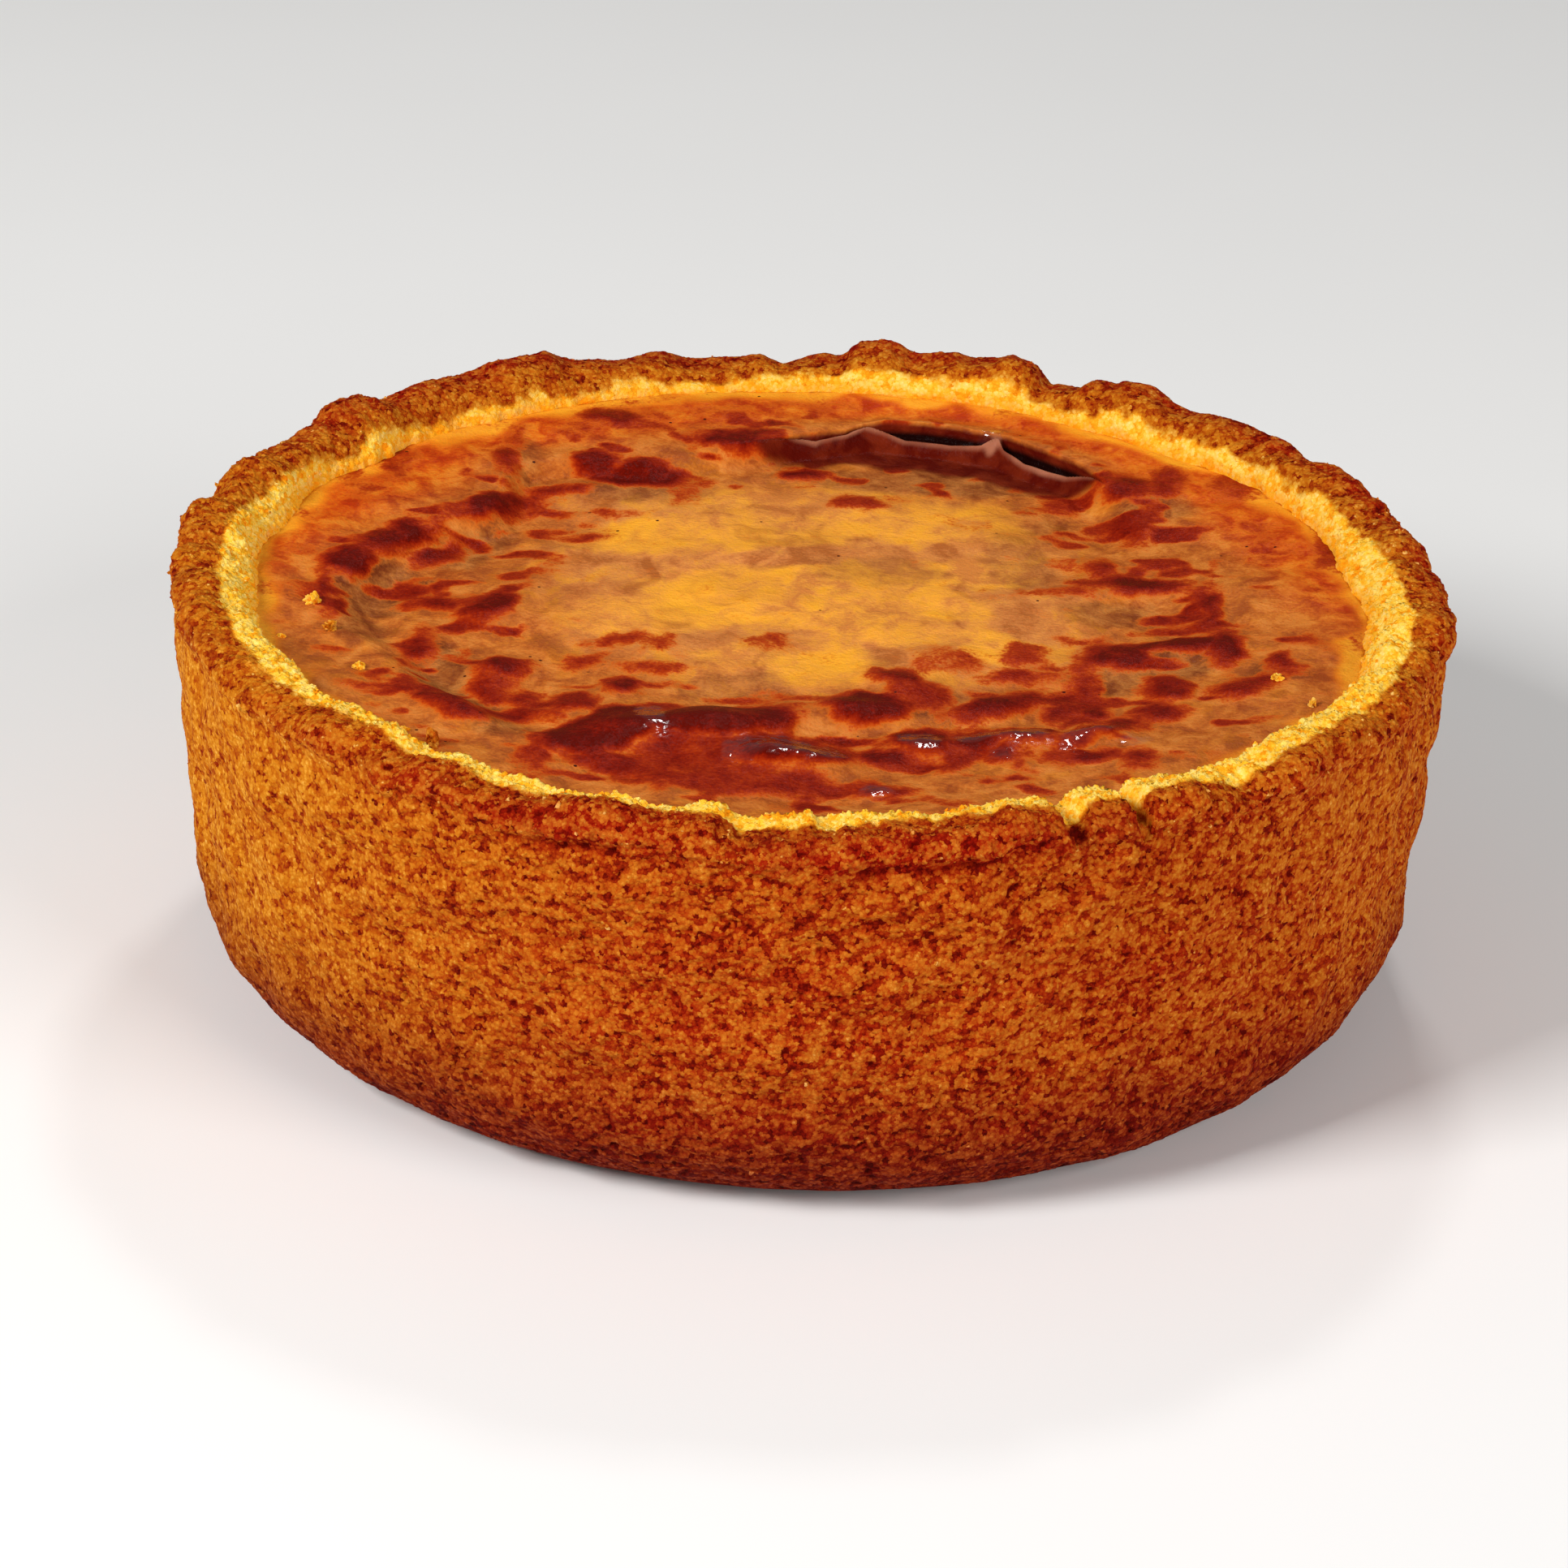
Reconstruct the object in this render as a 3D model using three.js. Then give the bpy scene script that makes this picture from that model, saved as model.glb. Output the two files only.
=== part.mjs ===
// A small round parisian flan, in millimetres, +Z up, standing on its flat base at the origin.
// A deep shortcrust shell with a rough, uneven rim holds a baked custard.
// The custard's skin has sunk inside a ring-shaped fold and carries browned humps.
import * as THREE from "three";

// Driving sizes of the shell
const RIM_RADIUS = 50;
const FOOT_RADIUS = 47.4;
const HEIGHT = 33;
const CORNER_RADIUS = 8.5;
const WALL_THICKNESS = 6.2;
const BASE_THICKNESS = 6;
const FLOOR_FILLET = 4;
const LIP_HEIGHT = 2.6;
const LIP_GROOVE = 0.25;
const LIP_BULGE = 0.2;
const BROWN_BAND = 4.4;
const PALE_BAND_DROP = 2.4;

// Driving sizes of the custard
const FIT_GAP = 0.3;
const HIDDEN_EDGE_DEPTH = 3;
const EDGE_SINK = 0.15;
const EDGE_LEVEL = HEIGHT - PALE_BAND_DROP - EDGE_SINK;
const LEDGE_DROP = 0.9;
const LEDGE_CURVE = 1.6;
const CREST_REACH = 0.3;
const MIDDLE_DROP = 0.7;
const MIDDLE_RISE = 0.5;

// The lip of skin that stands inside the fold's edge: how far inside, how high, and how deep the groove
// behind it is, all where the hollow is full; elsewhere it runs at a share of the fold's width
const FOLD_LIP_PLACE = 1.9;
const FOLD_LIP_RISE = 0.35;
const FOLD_GROOVE = 1.4;
const FOLD_LIP_SHARE = 0.3;

const SHELL_SEGMENTS = 144;
const CUSTARD_SEGMENTS = 120;

// Random fields that make the surfaces uneven: strength and longest and shortest wave in millimetres
const CRAG_FIELD = { strength: 0.16, count: 14, longest: 22, shortest: 5, seed: 0.37 };
const WANDER_FIELD = { strength: 0.35, count: 10, longest: 40, shortest: 11, seed: 0.71 };
const CRUMB_FIELD = { strength: 0.17, count: 26, longest: 9, shortest: 4, seed: 0.13 };
const SKIN_FIELD = { strength: 0.13, count: 18, longest: 30, shortest: 10, seed: 0.53 };

// The fold that rings the sunken middle, at angles in degrees from +X towards +Y: its radius, how far the
// skin drops inside it and over what width, how high the skin is buckled up along its edge, and how much
// of a hollow there is under it (0 to 1)
const FOLD = [
  { at: 0, radius: 33, drop: 0.5, width: 7, crest: 0.1, hollow: 0 },
  { at: 20, radius: 33, drop: 0.7, width: 6, crest: 0.1, hollow: 0 },
  { at: 36, radius: 33.4, drop: 0.9, width: 5, crest: 0.2, hollow: 0 },
  { at: 46, radius: 35.2, drop: 1, width: 3.2, crest: 0.5, hollow: 0 },
  { at: 50, radius: 36.4, drop: 1.1, width: 3, crest: 0.6, hollow: 0.5 },
  { at: 54, radius: 37, drop: 1.2, width: 3, crest: 0.8, hollow: 1 },
  { at: 61, radius: 38, drop: 1.2, width: 3, crest: 0.8, hollow: 1 },
  { at: 66.6, radius: 39, drop: 1.1, width: 3, crest: 0.8, hollow: 0.4 },
  { at: 72, radius: 38.7, drop: 1.2, width: 3, crest: 0.9, hollow: 1 },
  { at: 78, radius: 38.5, drop: 1.2, width: 3, crest: 0.9, hollow: 1 },
  { at: 81.5, radius: 38.2, drop: 1.1, width: 3, crest: 0.9, hollow: 0.7 },
  { at: 86, radius: 35.8, drop: 0.9, width: 2.6, crest: 0.6, hollow: 0.5 },
  { at: 90, radius: 34.6, drop: 0.9, width: 2.4, crest: 0.6, hollow: 0.6 },
  { at: 98, radius: 32.6, drop: 0.8, width: 2.4, crest: 0.4, hollow: 0 },
  { at: 108, radius: 31.6, drop: 0.7, width: 3, crest: 0.3, hollow: 0 },
  { at: 118, radius: 31.6, drop: 0.7, width: 4, crest: 0.2, hollow: 0 },
  { at: 128, radius: 35, drop: 0.8, width: 3, crest: 0.3, hollow: 0 },
  { at: 134, radius: 36, drop: 0.9, width: 2.5, crest: 0.3, hollow: 0 },
  { at: 142, radius: 32.6, drop: 0.9, width: 3, crest: 0.3, hollow: 0 },
  { at: 150, radius: 31, drop: 1, width: 3.5, crest: 0.3, hollow: 0 },
  { at: 158, radius: 32.8, drop: 1, width: 4, crest: 0.3, hollow: 0 },
  { at: 172, radius: 36.3, drop: 1, width: 4, crest: 0.3, hollow: 0 },
  { at: 182, radius: 38, drop: 1, width: 4, crest: 0.3, hollow: 0 },
  { at: 193, radius: 37.2, drop: 1, width: 4, crest: 0.3, hollow: 0 },
  { at: 204, radius: 35.8, drop: 1, width: 3.6, crest: 0.3, hollow: 0 },
  { at: 228, radius: 35, drop: 0.8, width: 4, crest: 0.2, hollow: 0 },
  { at: 240, radius: 36, drop: 0.6, width: 6, crest: 0.1, hollow: 0 },
  { at: 270, radius: 36.5, drop: 0.4, width: 8, crest: 0, hollow: 0 },
  { at: 300, radius: 35.5, drop: 0.4, width: 8, crest: 0.1, hollow: 0 },
  { at: 330, radius: 34, drop: 0.5, width: 8, crest: 0.1, hollow: 0 },
];

// How much higher the pale inner edge of the rim stands, at angles in degrees
const PALE_RISES = [
  { at: 0, rise: 0 },
  { at: 150, rise: 0 },
  { at: 180, rise: 0.1 },
  { at: 210, rise: 0.4 },
  { at: 240, rise: 0.7 },
  { at: 270, rise: 0.8 },
  { at: 300, rise: 0.7 },
  { at: 330, rise: 0.3 },
];

// Rim crags: angle and half width in degrees, rise in millimetres
const CRAGS = [
  { at: 26, half: 8, rise: 0.3 },
  { at: 56, half: 6, rise: 0.3 },
  { at: 64, half: 3, rise: -1.1 },
  { at: 68.5, half: 2.5, rise: 0.7 },
  { at: 84, half: 3, rise: 0.5 },
  { at: 91, half: 4.5, rise: -1.2 },
  { at: 105, half: 12, rise: -0.8 },
  { at: 122, half: 4.5, rise: 0.6 },
  { at: 144, half: 3.5, rise: 1 },
  { at: 176, half: 5, rise: 0.7 },
  { at: 200, half: 5, rise: 0.4 },
  { at: 226.5, half: 4, rise: 0.7 },
  { at: 245, half: 6, rise: -0.3 },
  { at: 266.5, half: 3.5, rise: -0.9 },
  { at: 289.5, half: 2.8, rise: 0.9 },
  { at: 296.5, half: 2.6, rise: 0.8 },
  { at: 303, half: 3, rise: 0.8 },
  { at: 319, half: 4, rise: 0.6 },
  { at: 352, half: 4, rise: 0.4 },
];
// A crag keeps its full rise over this share of its half width, and has faded out at the other
const CRAG_FULL = 0.55;
const CRAG_END = 1.25;

// Browned humps on the skin: place and size in millimetres, turn in degrees
const HUMPS = [
  { x: -9, y: -24.5, length: 17, width: 6, turn: 18, rise: 1.3 },
  { x: -1.5, y: -29.5, length: 10, width: 4.4, turn: -8, rise: 1 },
  { x: 8.5, y: -26, length: 7, width: 4, turn: 0, rise: 0.8 },
  { x: 15.5, y: -25, length: 7, width: 3.6, turn: 6, rise: 0.8 },
  { x: 21.5, y: -23.7, length: 6, width: 3.2, turn: 25, rise: 0.7 },
  { x: 4.5, y: -20.7, length: 6.5, width: 4, turn: 5, rise: 0.6 },
  { x: 14, y: -18.5, length: 9, width: 3.6, turn: 35, rise: 0.45 },
  { x: 7, y: -15.4, length: 5, width: 3.6, turn: -25, rise: 0.4 },
  { x: -18.5, y: -22, length: 6, width: 4, turn: 10, rise: 0.4 },
  { x: -26, y: -24, length: 7, width: 4, turn: -38, rise: 0.5 },
  { x: -24, y: -15, length: 6, width: 4, turn: 30, rise: 0.35 },
  { x: -25, y: -3.8, length: 7, width: 3.6, turn: 8, rise: 0.3 },
  { x: -13, y: -10.3, length: 6, width: 4, turn: 10, rise: 0.3 },
  { x: 27.5, y: -7, length: 10, width: 4, turn: 18, rise: 0.5 },
  { x: 25, y: 5, length: 7.5, width: 3.4, turn: -6, rise: 0.4 },
  { x: -15, y: 23.2, length: 9, width: 3.6, turn: -2, rise: 0.4 },
  { x: -7, y: 30.4, length: 9, width: 3.6, turn: 8, rise: 0.4 },
];

const TAU = 2 * Math.PI;
const radians = (degrees) => (degrees * Math.PI) / 180;
const fraction = (value) => value - Math.floor(value);
const mix = (a, b, share) => a + (b - a) * share;

function smooth(from, to, value) {
  const share = Math.min(1, Math.max(0, (value - from) / (to - from)));
  return share * share * (3 - 2 * share);
}

// A smooth random field: plane waves whose directions and phases are spread by irrational steps.
function waves(x, y, z, { strength, count, longest, shortest, seed }) {
  let sum = 0;
  for (let k = 1; k <= count; k++) {
    const rise = 1 - 2 * fraction(k * 0.6180339887 + seed);
    const flat = Math.sqrt(1 - rise * rise);
    const heading = TAU * fraction(k * 0.7548776662 + seed * 3);
    const length = longest * (shortest / longest) ** (k / count);
    const along = x * flat * Math.cos(heading) + y * flat * Math.sin(heading) + z * rise;
    sum += Math.cos(TAU * (along / length + fraction(k * 0.5698402910 + seed * 7)));
  }
  return (strength * sum) / Math.sqrt(count / 2);
}

// The entry of a list at an angle, each of its numbers joined straight between neighbouring entries.
function around(list, angle) {
  const degrees = fraction(angle / TAU) * 360;
  const after = list.findIndex((entry) => entry.at > degrees);
  const next = after < 0 ? list[0] : list[after];
  const last = after < 0 ? list[list.length - 1] : list[after - 1];
  const share = (degrees - last.at) / ((next.at || 360) - last.at);
  const entry = {};
  for (const key of Object.keys(last)) {
    entry[key] = mix(last[key], next[key], share);
  }
  return entry;
}

// Height of the rim's lumps and notches above its mean level.
function cragHeight(angle) {
  let height = waves(RIM_RADIUS * Math.cos(angle), RIM_RADIUS * Math.sin(angle), 0, CRAG_FIELD);
  for (const { at, half, rise } of CRAGS) {
    const away = Math.abs(Math.atan2(Math.sin(angle - radians(at)), Math.cos(angle - radians(at))));
    height += rise * (1 - smooth(radians(half * CRAG_FULL), radians(half * CRAG_END), away));
  }
  return height;
}

// How far the inner edge of the shell wanders from a true circle.
const WANDER_LEVEL = 9;
const edgeWander = (angle) =>
  waves(RIM_RADIUS * Math.cos(angle), RIM_RADIUS * Math.sin(angle), WANDER_LEVEL, WANDER_FIELD);

// Radius of the straight outer wall at a height, and of the inner wall behind it.
const wallRadius = (z) => mix(FOOT_RADIUS, RIM_RADIUS, z / HEIGHT);
const innerRadius = (z) => wallRadius(z) - WALL_THICKNESS;

// The shell's section, from the middle of its base round the outside to the middle of its floor.
// Each point says how much it follows the crumb relief outwards (out) and upwards (up), the rim's
// crags (crag), the rise of its pale inner edge (pale) and the wandering of that edge (wander).
function shellSection() {
  const section = [];
  const add = (r, z, follow = {}) => {
    section.push({ r, z, out: 0, up: 0, crag: 0, pale: 0, wander: 0, ...follow });
  };

  const footFlat = FOOT_RADIUS - CORNER_RADIUS;
  add(0, 0);
  add(footFlat / 2, 0);
  add(footFlat, 0);
  const cornerSteps = 5;
  for (let k = 1; k <= cornerSteps; k++) {
    const turn = (k / cornerSteps) * (Math.PI / 2);
    const z = CORNER_RADIUS * (1 - Math.cos(turn));
    add(mix(footFlat, wallRadius(z), Math.sin(turn)), z, { out: Math.sin(turn) * (k / cornerSteps) });
  }

  const lipStart = HEIGHT - LIP_HEIGHT;
  const wallSteps = 7;
  for (let k = 1; k <= wallSteps; k++) {
    const z = mix(CORNER_RADIUS, lipStart, k / wallSteps);
    const groove = k === wallSteps ? LIP_GROOVE : 0;
    add(wallRadius(z) - groove, z, { out: 1, crag: 0.5 * (k / wallSteps) ** 6 });
  }
  add(wallRadius(lipStart) + LIP_BULGE, lipStart + LIP_HEIGHT * 0.4, { out: 1, crag: 0.8 });
  add(RIM_RADIUS - 0.3, HEIGHT - 0.7, { out: 0.8, up: 0.5, crag: 1 });
  add(RIM_RADIUS - 1.3, HEIGHT, { out: 0.3, up: 1, crag: 1 });
  add(RIM_RADIUS - BROWN_BAND * 0.65, HEIGHT + 0.05, { up: 1, crag: 1 });
  add(RIM_RADIUS - BROWN_BAND, HEIGHT - 0.2, { up: 1, crag: 0.8 });
  const paleEdge = innerRadius(HEIGHT);
  const paleMiddle = mix(paleEdge, RIM_RADIUS - BROWN_BAND, 0.5);
  add(paleMiddle, HEIGHT - 0.9, { up: 0.8, crag: 0.65, pale: 1, wander: 0.5 });
  add(paleEdge, HEIGHT - PALE_BAND_DROP, { up: 0.1, wander: 1 });

  const hidden = EDGE_LEVEL - HIDDEN_EDGE_DEPTH;
  add(innerRadius(hidden), hidden, { wander: 1 });
  add(innerRadius(BASE_THICKNESS + FLOOR_FILLET), BASE_THICKNESS + FLOOR_FILLET);
  add(innerRadius(BASE_THICKNESS) - FLOOR_FILLET, BASE_THICKNESS);
  add(0, BASE_THICKNESS);
  return section;
}

// Revolves a section given in the XY plane and stands it on +Z.
function revolve(section, segments) {
  const points = section.map(({ r, z }) => new THREE.Vector2(r, z));
  return new THREE.LatheGeometry(points, segments).rotateX(Math.PI / 2);
}

// Moves each vertex of a revolved section: move gets the section's point and the vertex's angle.
function shapeRevolved(geometry, section, move) {
  const position = geometry.getAttribute("position");
  for (let k = 0; k < position.count; k++) {
    const station = section[k % section.length];
    const angle = Math.atan2(position.getY(k), position.getX(k));
    const { r, z } = station.r === 0 ? { r: 0, z: station.z } : move(station, angle);
    position.setXYZ(k, r * Math.cos(angle), r * Math.sin(angle), z);
  }
  geometry.computeVertexNormals();
  return geometry;
}

function shellGeometry() {
  const section = shellSection();
  return shapeRevolved(revolve(section, SHELL_SEGMENTS), section, (station, angle) => {
    const { r, z, out, up, crag, pale, wander } = station;
    const relief = out || up ? waves(r * Math.cos(angle), r * Math.sin(angle), z, CRUMB_FIELD) : 0;
    return {
      r: r + out * relief + wander * edgeWander(angle),
      z: z + up * relief + crag * cragHeight(angle) + pale * around(PALE_RISES, angle).rise,
    };
  });
}

// Height added to the skin by its humps and by gentle waves.
function skinRelief(x, y) {
  let height = waves(x, y, 0, SKIN_FIELD);
  for (const hump of HUMPS) {
    const turn = radians(hump.turn);
    const along = (x - hump.x) * Math.cos(turn) + (y - hump.y) * Math.sin(turn);
    const across = (y - hump.y) * Math.cos(turn) - (x - hump.x) * Math.sin(turn);
    const far = (along / (hump.length / 2)) ** 2 + (across / (hump.width / 2)) ** 2;
    height += hump.rise * Math.exp(-far);
  }
  return height;
}

// The skin's rings on the ledge, from the shell (1) to the fold's edge (0)
const LEDGE_RINGS = [1, 0.8, 0.6, 0.4, 0.22, 0.1, 0];
// The rings down the fold: a place between its edge (0), its lip (1) and its foot (2), and how much of the
// groove's depth and of the lip's rise a ring has
const FOLD_RINGS = [
  { place: 0.2, groove: 1, lip: 0 },
  { place: 0.55, groove: 0.85, lip: 0 },
  { place: 1, groove: 0, lip: 1 },
  { place: 1.5, groove: 0, lip: 0 },
];
// The rings of the sunken middle, from the fold's foot (1) to the axis (0)
const MIDDLE_RINGS = [1, 0.94, 0.88, 0.82, 0.76, 0.69, 0.61, 0.52, 0.42, 0.3, 0.16];

const LEDGE_LEVEL = EDGE_LEVEL - LEDGE_DROP;

// Radius and height of the skin on the ledge at an angle, and how freely it follows the skin's relief.
function ledgePoint(share, angle) {
  const { radius, crest } = around(FOLD, angle);
  const edgeRadius = innerRadius(EDGE_LEVEL) - FIT_GAP + edgeWander(angle);
  const slope = LEDGE_DROP * (1 - share) ** LEDGE_CURVE;
  const pushed = crest * Math.exp(-((share / CREST_REACH) ** 2));
  return { r: mix(radius, edgeRadius, share), z: EDGE_LEVEL - slope + pushed, free: 1 - share ** 4 };
}

// The same down the fold's inner side, from its edge over its lip to its foot.
function foldPoint({ place, groove, lip }, angle) {
  const { radius, drop, width, crest, hollow } = around(FOLD, angle);
  const lipInside = Math.max(FOLD_LIP_SHARE * width, FOLD_LIP_PLACE * hollow);
  const inside = place < 1 ? lipInside * place : mix(lipInside, width, place - 1);
  const step = mix(LEDGE_LEVEL - drop, LEDGE_LEVEL + crest, smooth(0, 1, 1 - inside / width));
  const buckled = smooth(0, 0.5, hollow) * (FOLD_LIP_RISE * lip - FOLD_GROOVE * groove);
  return { r: radius - inside, z: step + buckled, free: 1 };
}

// The same in the sunken middle.
function middlePoint(place, angle) {
  const { radius, drop, width } = around(FOLD, angle);
  const level = LEDGE_LEVEL - mix(MIDDLE_DROP, drop, place ** 6) + MIDDLE_RISE * (1 - place ** 2);
  return { r: (radius - width) * place, z: level, free: 1 };
}

// The custard's section: its hidden base and side, then the rings of its skin to the middle.
// A ring's radius here only sets it apart from the axis, until its own function places it.
function custardSection() {
  const floor = BASE_THICKNESS + FIT_GAP;
  const hidden = EDGE_LEVEL - HIDDEN_EDGE_DEPTH;
  const section = [
    { r: 0, z: floor },
    { r: innerRadius(BASE_THICKNESS) - FLOOR_FILLET - FIT_GAP / 2, z: floor },
    { r: innerRadius(floor + FLOOR_FILLET) - FIT_GAP, z: floor + FLOOR_FILLET },
    { r: innerRadius(hidden) - FIT_GAP, z: hidden, wander: 1 },
  ];
  const rings = [
    ...LEDGE_RINGS.map((share) => (angle) => ledgePoint(share, angle)),
    ...FOLD_RINGS.map((ring) => (angle) => foldPoint(ring, angle)),
    ...MIDDLE_RINGS.map((place) => (angle) => middlePoint(place, angle)),
  ];
  for (const ring of rings) {
    section.push({ r: 1, z: EDGE_LEVEL, ring });
  }
  section.push({ r: 0, z: middlePoint(0, 0).z + skinRelief(0, 0) });
  return section;
}

function custardGeometry() {
  const section = custardSection();
  return shapeRevolved(revolve(section, CUSTARD_SEGMENTS), section, (station, angle) => {
    if (!station.ring) {
      return { r: station.r + (station.wander ? edgeWander(angle) : 0), z: station.z };
    }
    const { r, z, free } = station.ring(angle);
    return { r, z: z + free * skinRelief(r * Math.cos(angle), r * Math.sin(angle)) };
  });
}

function namedMesh(name, geometry, look) {
  const mesh = new THREE.Mesh(geometry, new THREE.MeshStandardMaterial(look));
  mesh.name = name;
  return mesh;
}

const flan = new THREE.Group();
flan.add(namedMesh("crust", shellGeometry(), { color: 0xc4730f, roughness: 0.85, metalness: 0 }));
flan.add(namedMesh("custard", custardGeometry(), { color: 0xc97a24, roughness: 0.4, metalness: 0 }));

export default flan;
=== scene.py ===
"""A small round parisian flan on its flat base: a crumbly shortcrust case, baked custard and loose crumbs."""
import itertools
import math

import bpy
import numpy as np
from mathutils import Matrix, Vector


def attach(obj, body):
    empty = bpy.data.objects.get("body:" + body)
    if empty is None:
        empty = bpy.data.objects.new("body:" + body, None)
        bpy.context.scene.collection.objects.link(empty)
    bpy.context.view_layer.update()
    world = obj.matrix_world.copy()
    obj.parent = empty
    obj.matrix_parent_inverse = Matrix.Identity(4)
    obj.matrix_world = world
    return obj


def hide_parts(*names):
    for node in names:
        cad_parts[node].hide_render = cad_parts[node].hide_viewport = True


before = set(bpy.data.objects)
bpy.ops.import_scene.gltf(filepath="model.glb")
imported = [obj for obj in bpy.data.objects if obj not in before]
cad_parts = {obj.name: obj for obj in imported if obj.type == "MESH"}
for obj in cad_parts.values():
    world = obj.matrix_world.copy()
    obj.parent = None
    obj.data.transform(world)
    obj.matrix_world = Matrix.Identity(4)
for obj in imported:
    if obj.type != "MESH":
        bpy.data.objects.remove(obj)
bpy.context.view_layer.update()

# Lengths are in millimetres until a mesh is made
MM = 0.001
TAU = 2 * math.pi

# The case
RIM_RADIUS = 50
FOOT_RADIUS = 47.4
HEIGHT = 33
CORNER_RADIUS = 8.5
WALL_THICKNESS = 6.2
BASE_THICKNESS = 6
LIP_LEVEL = HEIGHT - 2.6
LIP_GROOVE = 0.25
LIP_BULGE = 0.2
BROWN_BAND = 4.4
PALE_BAND_DROP = 2.4
CASE_COLUMNS = 1480
CASE_ANGLES = np.linspace(0, TAU, CASE_COLUMNS, endpoint=False)
WALL_STEP = 0.22
RIM_STEP = 0.2
FOOT_LEVEL = 8.5
COLLAR_LEVEL = 19.5

# How high or deep the parts of the case's crumb stand
LUMP_RELIEF = 0.17
SWELL_RELIEF = 0.12
FLAKE_RELIEF = 0.09
GAP_DEPTH = 0.14
PIT_DEPTH = 0.16
CRACK_DEPTH = 0.3
GRAIN_RELIEF = 0.06
RIM_RELIEF = 0.4
RIM_GRAIN_RELIEF = 0.08
RAW_RELIEF = 0.2
RAW_GRAIN_RELIEF = 0.14
SEAM_RELIEF = 0.6
# How deep the lip's groove is pushed in, and how far it is darkened as painted shadow
GROOVE_DEPTH_AND_SHADOW = 0.35
CASE_CRUMBS = 1700

# The custard
EDGE_LEVEL = HEIGHT - PALE_BAND_DROP - 0.15
EDGE_SINK = 0.25
LEDGE_DROP = 0.9
MIDDLE_DROP = 0.7
MIDDLE_RISE = 0.5
SKIN_CELLS = 300
WAVE_RELIEF = 0.13
BUCKLE_RELIEF = 0.26
WRINKLE_RELIEF = 0.06
SCORCH_RISE = 0.3

# The fold that rings the sunken middle, from +X towards +Y: degrees, radius, how far the skin drops inside it
# and over what width, how high it is buckled up along its edge, and the hollow under it (0 to 1)
FOLD = [
    (0, 33, 0.5, 7, 0.1, 0), (20, 33, 0.7, 6, 0.1, 0), (36, 33.4, 0.9, 5, 0.2, 0), (46, 35.2, 1, 3.2, 0.5, 0),
    (50, 36.4, 1.1, 3, 0.6, 0.5), (53.5, 37, 1.2, 3, 0.8, 0.9), (61, 38, 1.2, 3, 0.8, 1),
    (65, 38.8, 1.2, 3, 0.8, 0.8), (66.6, 39, 1.1, 3, 0.8, 0.3), (68.2, 39, 1.2, 3, 0.8, 0.8),
    (72, 38.7, 1.2, 3, 0.9, 1), (78, 38.5, 1.2, 3, 0.9, 1), (81.5, 38.2, 1.1, 3, 0.9, 0.7),
    (83.5, 37.2, 1, 2.8, 0.8, 0.4), (86, 35.8, 0.9, 2.6, 0.6, 0.5), (90, 34.6, 0.9, 2.4, 0.6, 0.6),
    (94, 33.6, 0.9, 2.4, 0.5, 0.3), (98, 32.6, 0.8, 2.4, 0.4, 0), (108, 31.6, 0.7, 3, 0.3, 0),
    (118, 31.6, 0.7, 4, 0.2, 0), (128, 35, 0.8, 3, 0.3, 0), (134, 36, 0.9, 2.5, 0.3, 0),
    (142, 32.6, 0.9, 3, 0.3, 0), (150, 31, 1, 3.5, 0.3, 0), (158, 32.8, 1, 4, 0.3, 0),
    (172, 36.3, 1, 4, 0.3, 0), (182, 38, 1, 4, 0.3, 0), (193, 37.2, 1, 4, 0.3, 0),
    (204, 35.8, 1, 3.6, 0.3, 0), (215, 35.4, 1, 3.4, 0.3, 0), (228, 35, 0.8, 4, 0.2, 0),
    (240, 36, 0.6, 6, 0.1, 0), (270, 36.5, 0.4, 8, 0, 0), (300, 35.5, 0.4, 8, 0.1, 0),
    (330, 34, 0.5, 8, 0.1, 0),
]
FOLD_LIP_PLACE = 1.9
FOLD_LIP_RISE = 0.35
FOLD_GROOVE = 1.4
# Where a thin ridge of skin crosses the fold, in degrees; a painted highlight marks it
RIDGE_AT = 66.8
# How far the dark floor reaches from the fold towards the middle: degrees, millimetres
FLOOR_REACHES = [(46, 0), (52, 4), (62, 6), (70, 7.5), (80, 7), (88, 4.5), (96, 2.5), (102, 0)]
# The skin's rings: the share of them inside the fold, and the close ones just inside it
FOLD_RING = 0.8
FOLD_RINGS_NEAR = 0.18
FOLD_NEAR = 3.2

# How much higher the pale inner edge of the rim stands, and how much wider it is: degrees, millimetres
PALE_RISES = [(0, 0), (150, 0), (180, 0.1), (210, 0.4), (240, 0.7), (270, 0.8), (300, 0.7), (330, 0.3)]
PALE_WIDTHS = [
    (0, 0.5), (30, -0.9), (60, -1.2), (90, -1), (120, -1.5), (150, -1.3), (170, -0.1), (190, 0.7),
    (210, 1.4), (240, 1.1), (262, 1), (270, 1.2), (280, 0.2), (290, 1.6), (304, 2), (320, 1.9), (345, 1.6),
]
# How golden the rim is beside its pale edge, from 0 to 1, by degrees
GOLDEN_SHARES = [
    (0, 0.9), (40, 1), (90, 1), (140, 0.8), (170, 0.5), (200, 0.4), (260, 0.3), (300, 0.6), (345, 1),
]

# Rim crags: angle and half width in degrees, rise in millimetres
CRAGS = [
    (26, 8, 0.3), (56, 6, 0.3), (64, 3, -1.1), (68.5, 2.5, 0.7), (84, 3, 0.5), (91, 4.5, -1.2),
    (105, 12, -0.8), (122, 4.5, 0.6), (144, 3.5, 1), (176, 5, 0.7), (200, 5, 0.4), (226.5, 4, 0.7),
    (245, 6, -0.3), (266.5, 3.5, -0.9), (289.5, 2.8, 0.9), (296.5, 2.6, 0.8), (303, 3, 0.8),
    (319, 4, 0.6), (352, 4, 0.4),
]
# Narrow notches in the rim, too fine for the solids
NOTCHES = [(293.2, 1.1, -0.8), (299.3, 0.9, -1.3), (272, 1.2, -0.5), (233, 1, -0.4), (311, 1.3, -0.5)]

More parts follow.
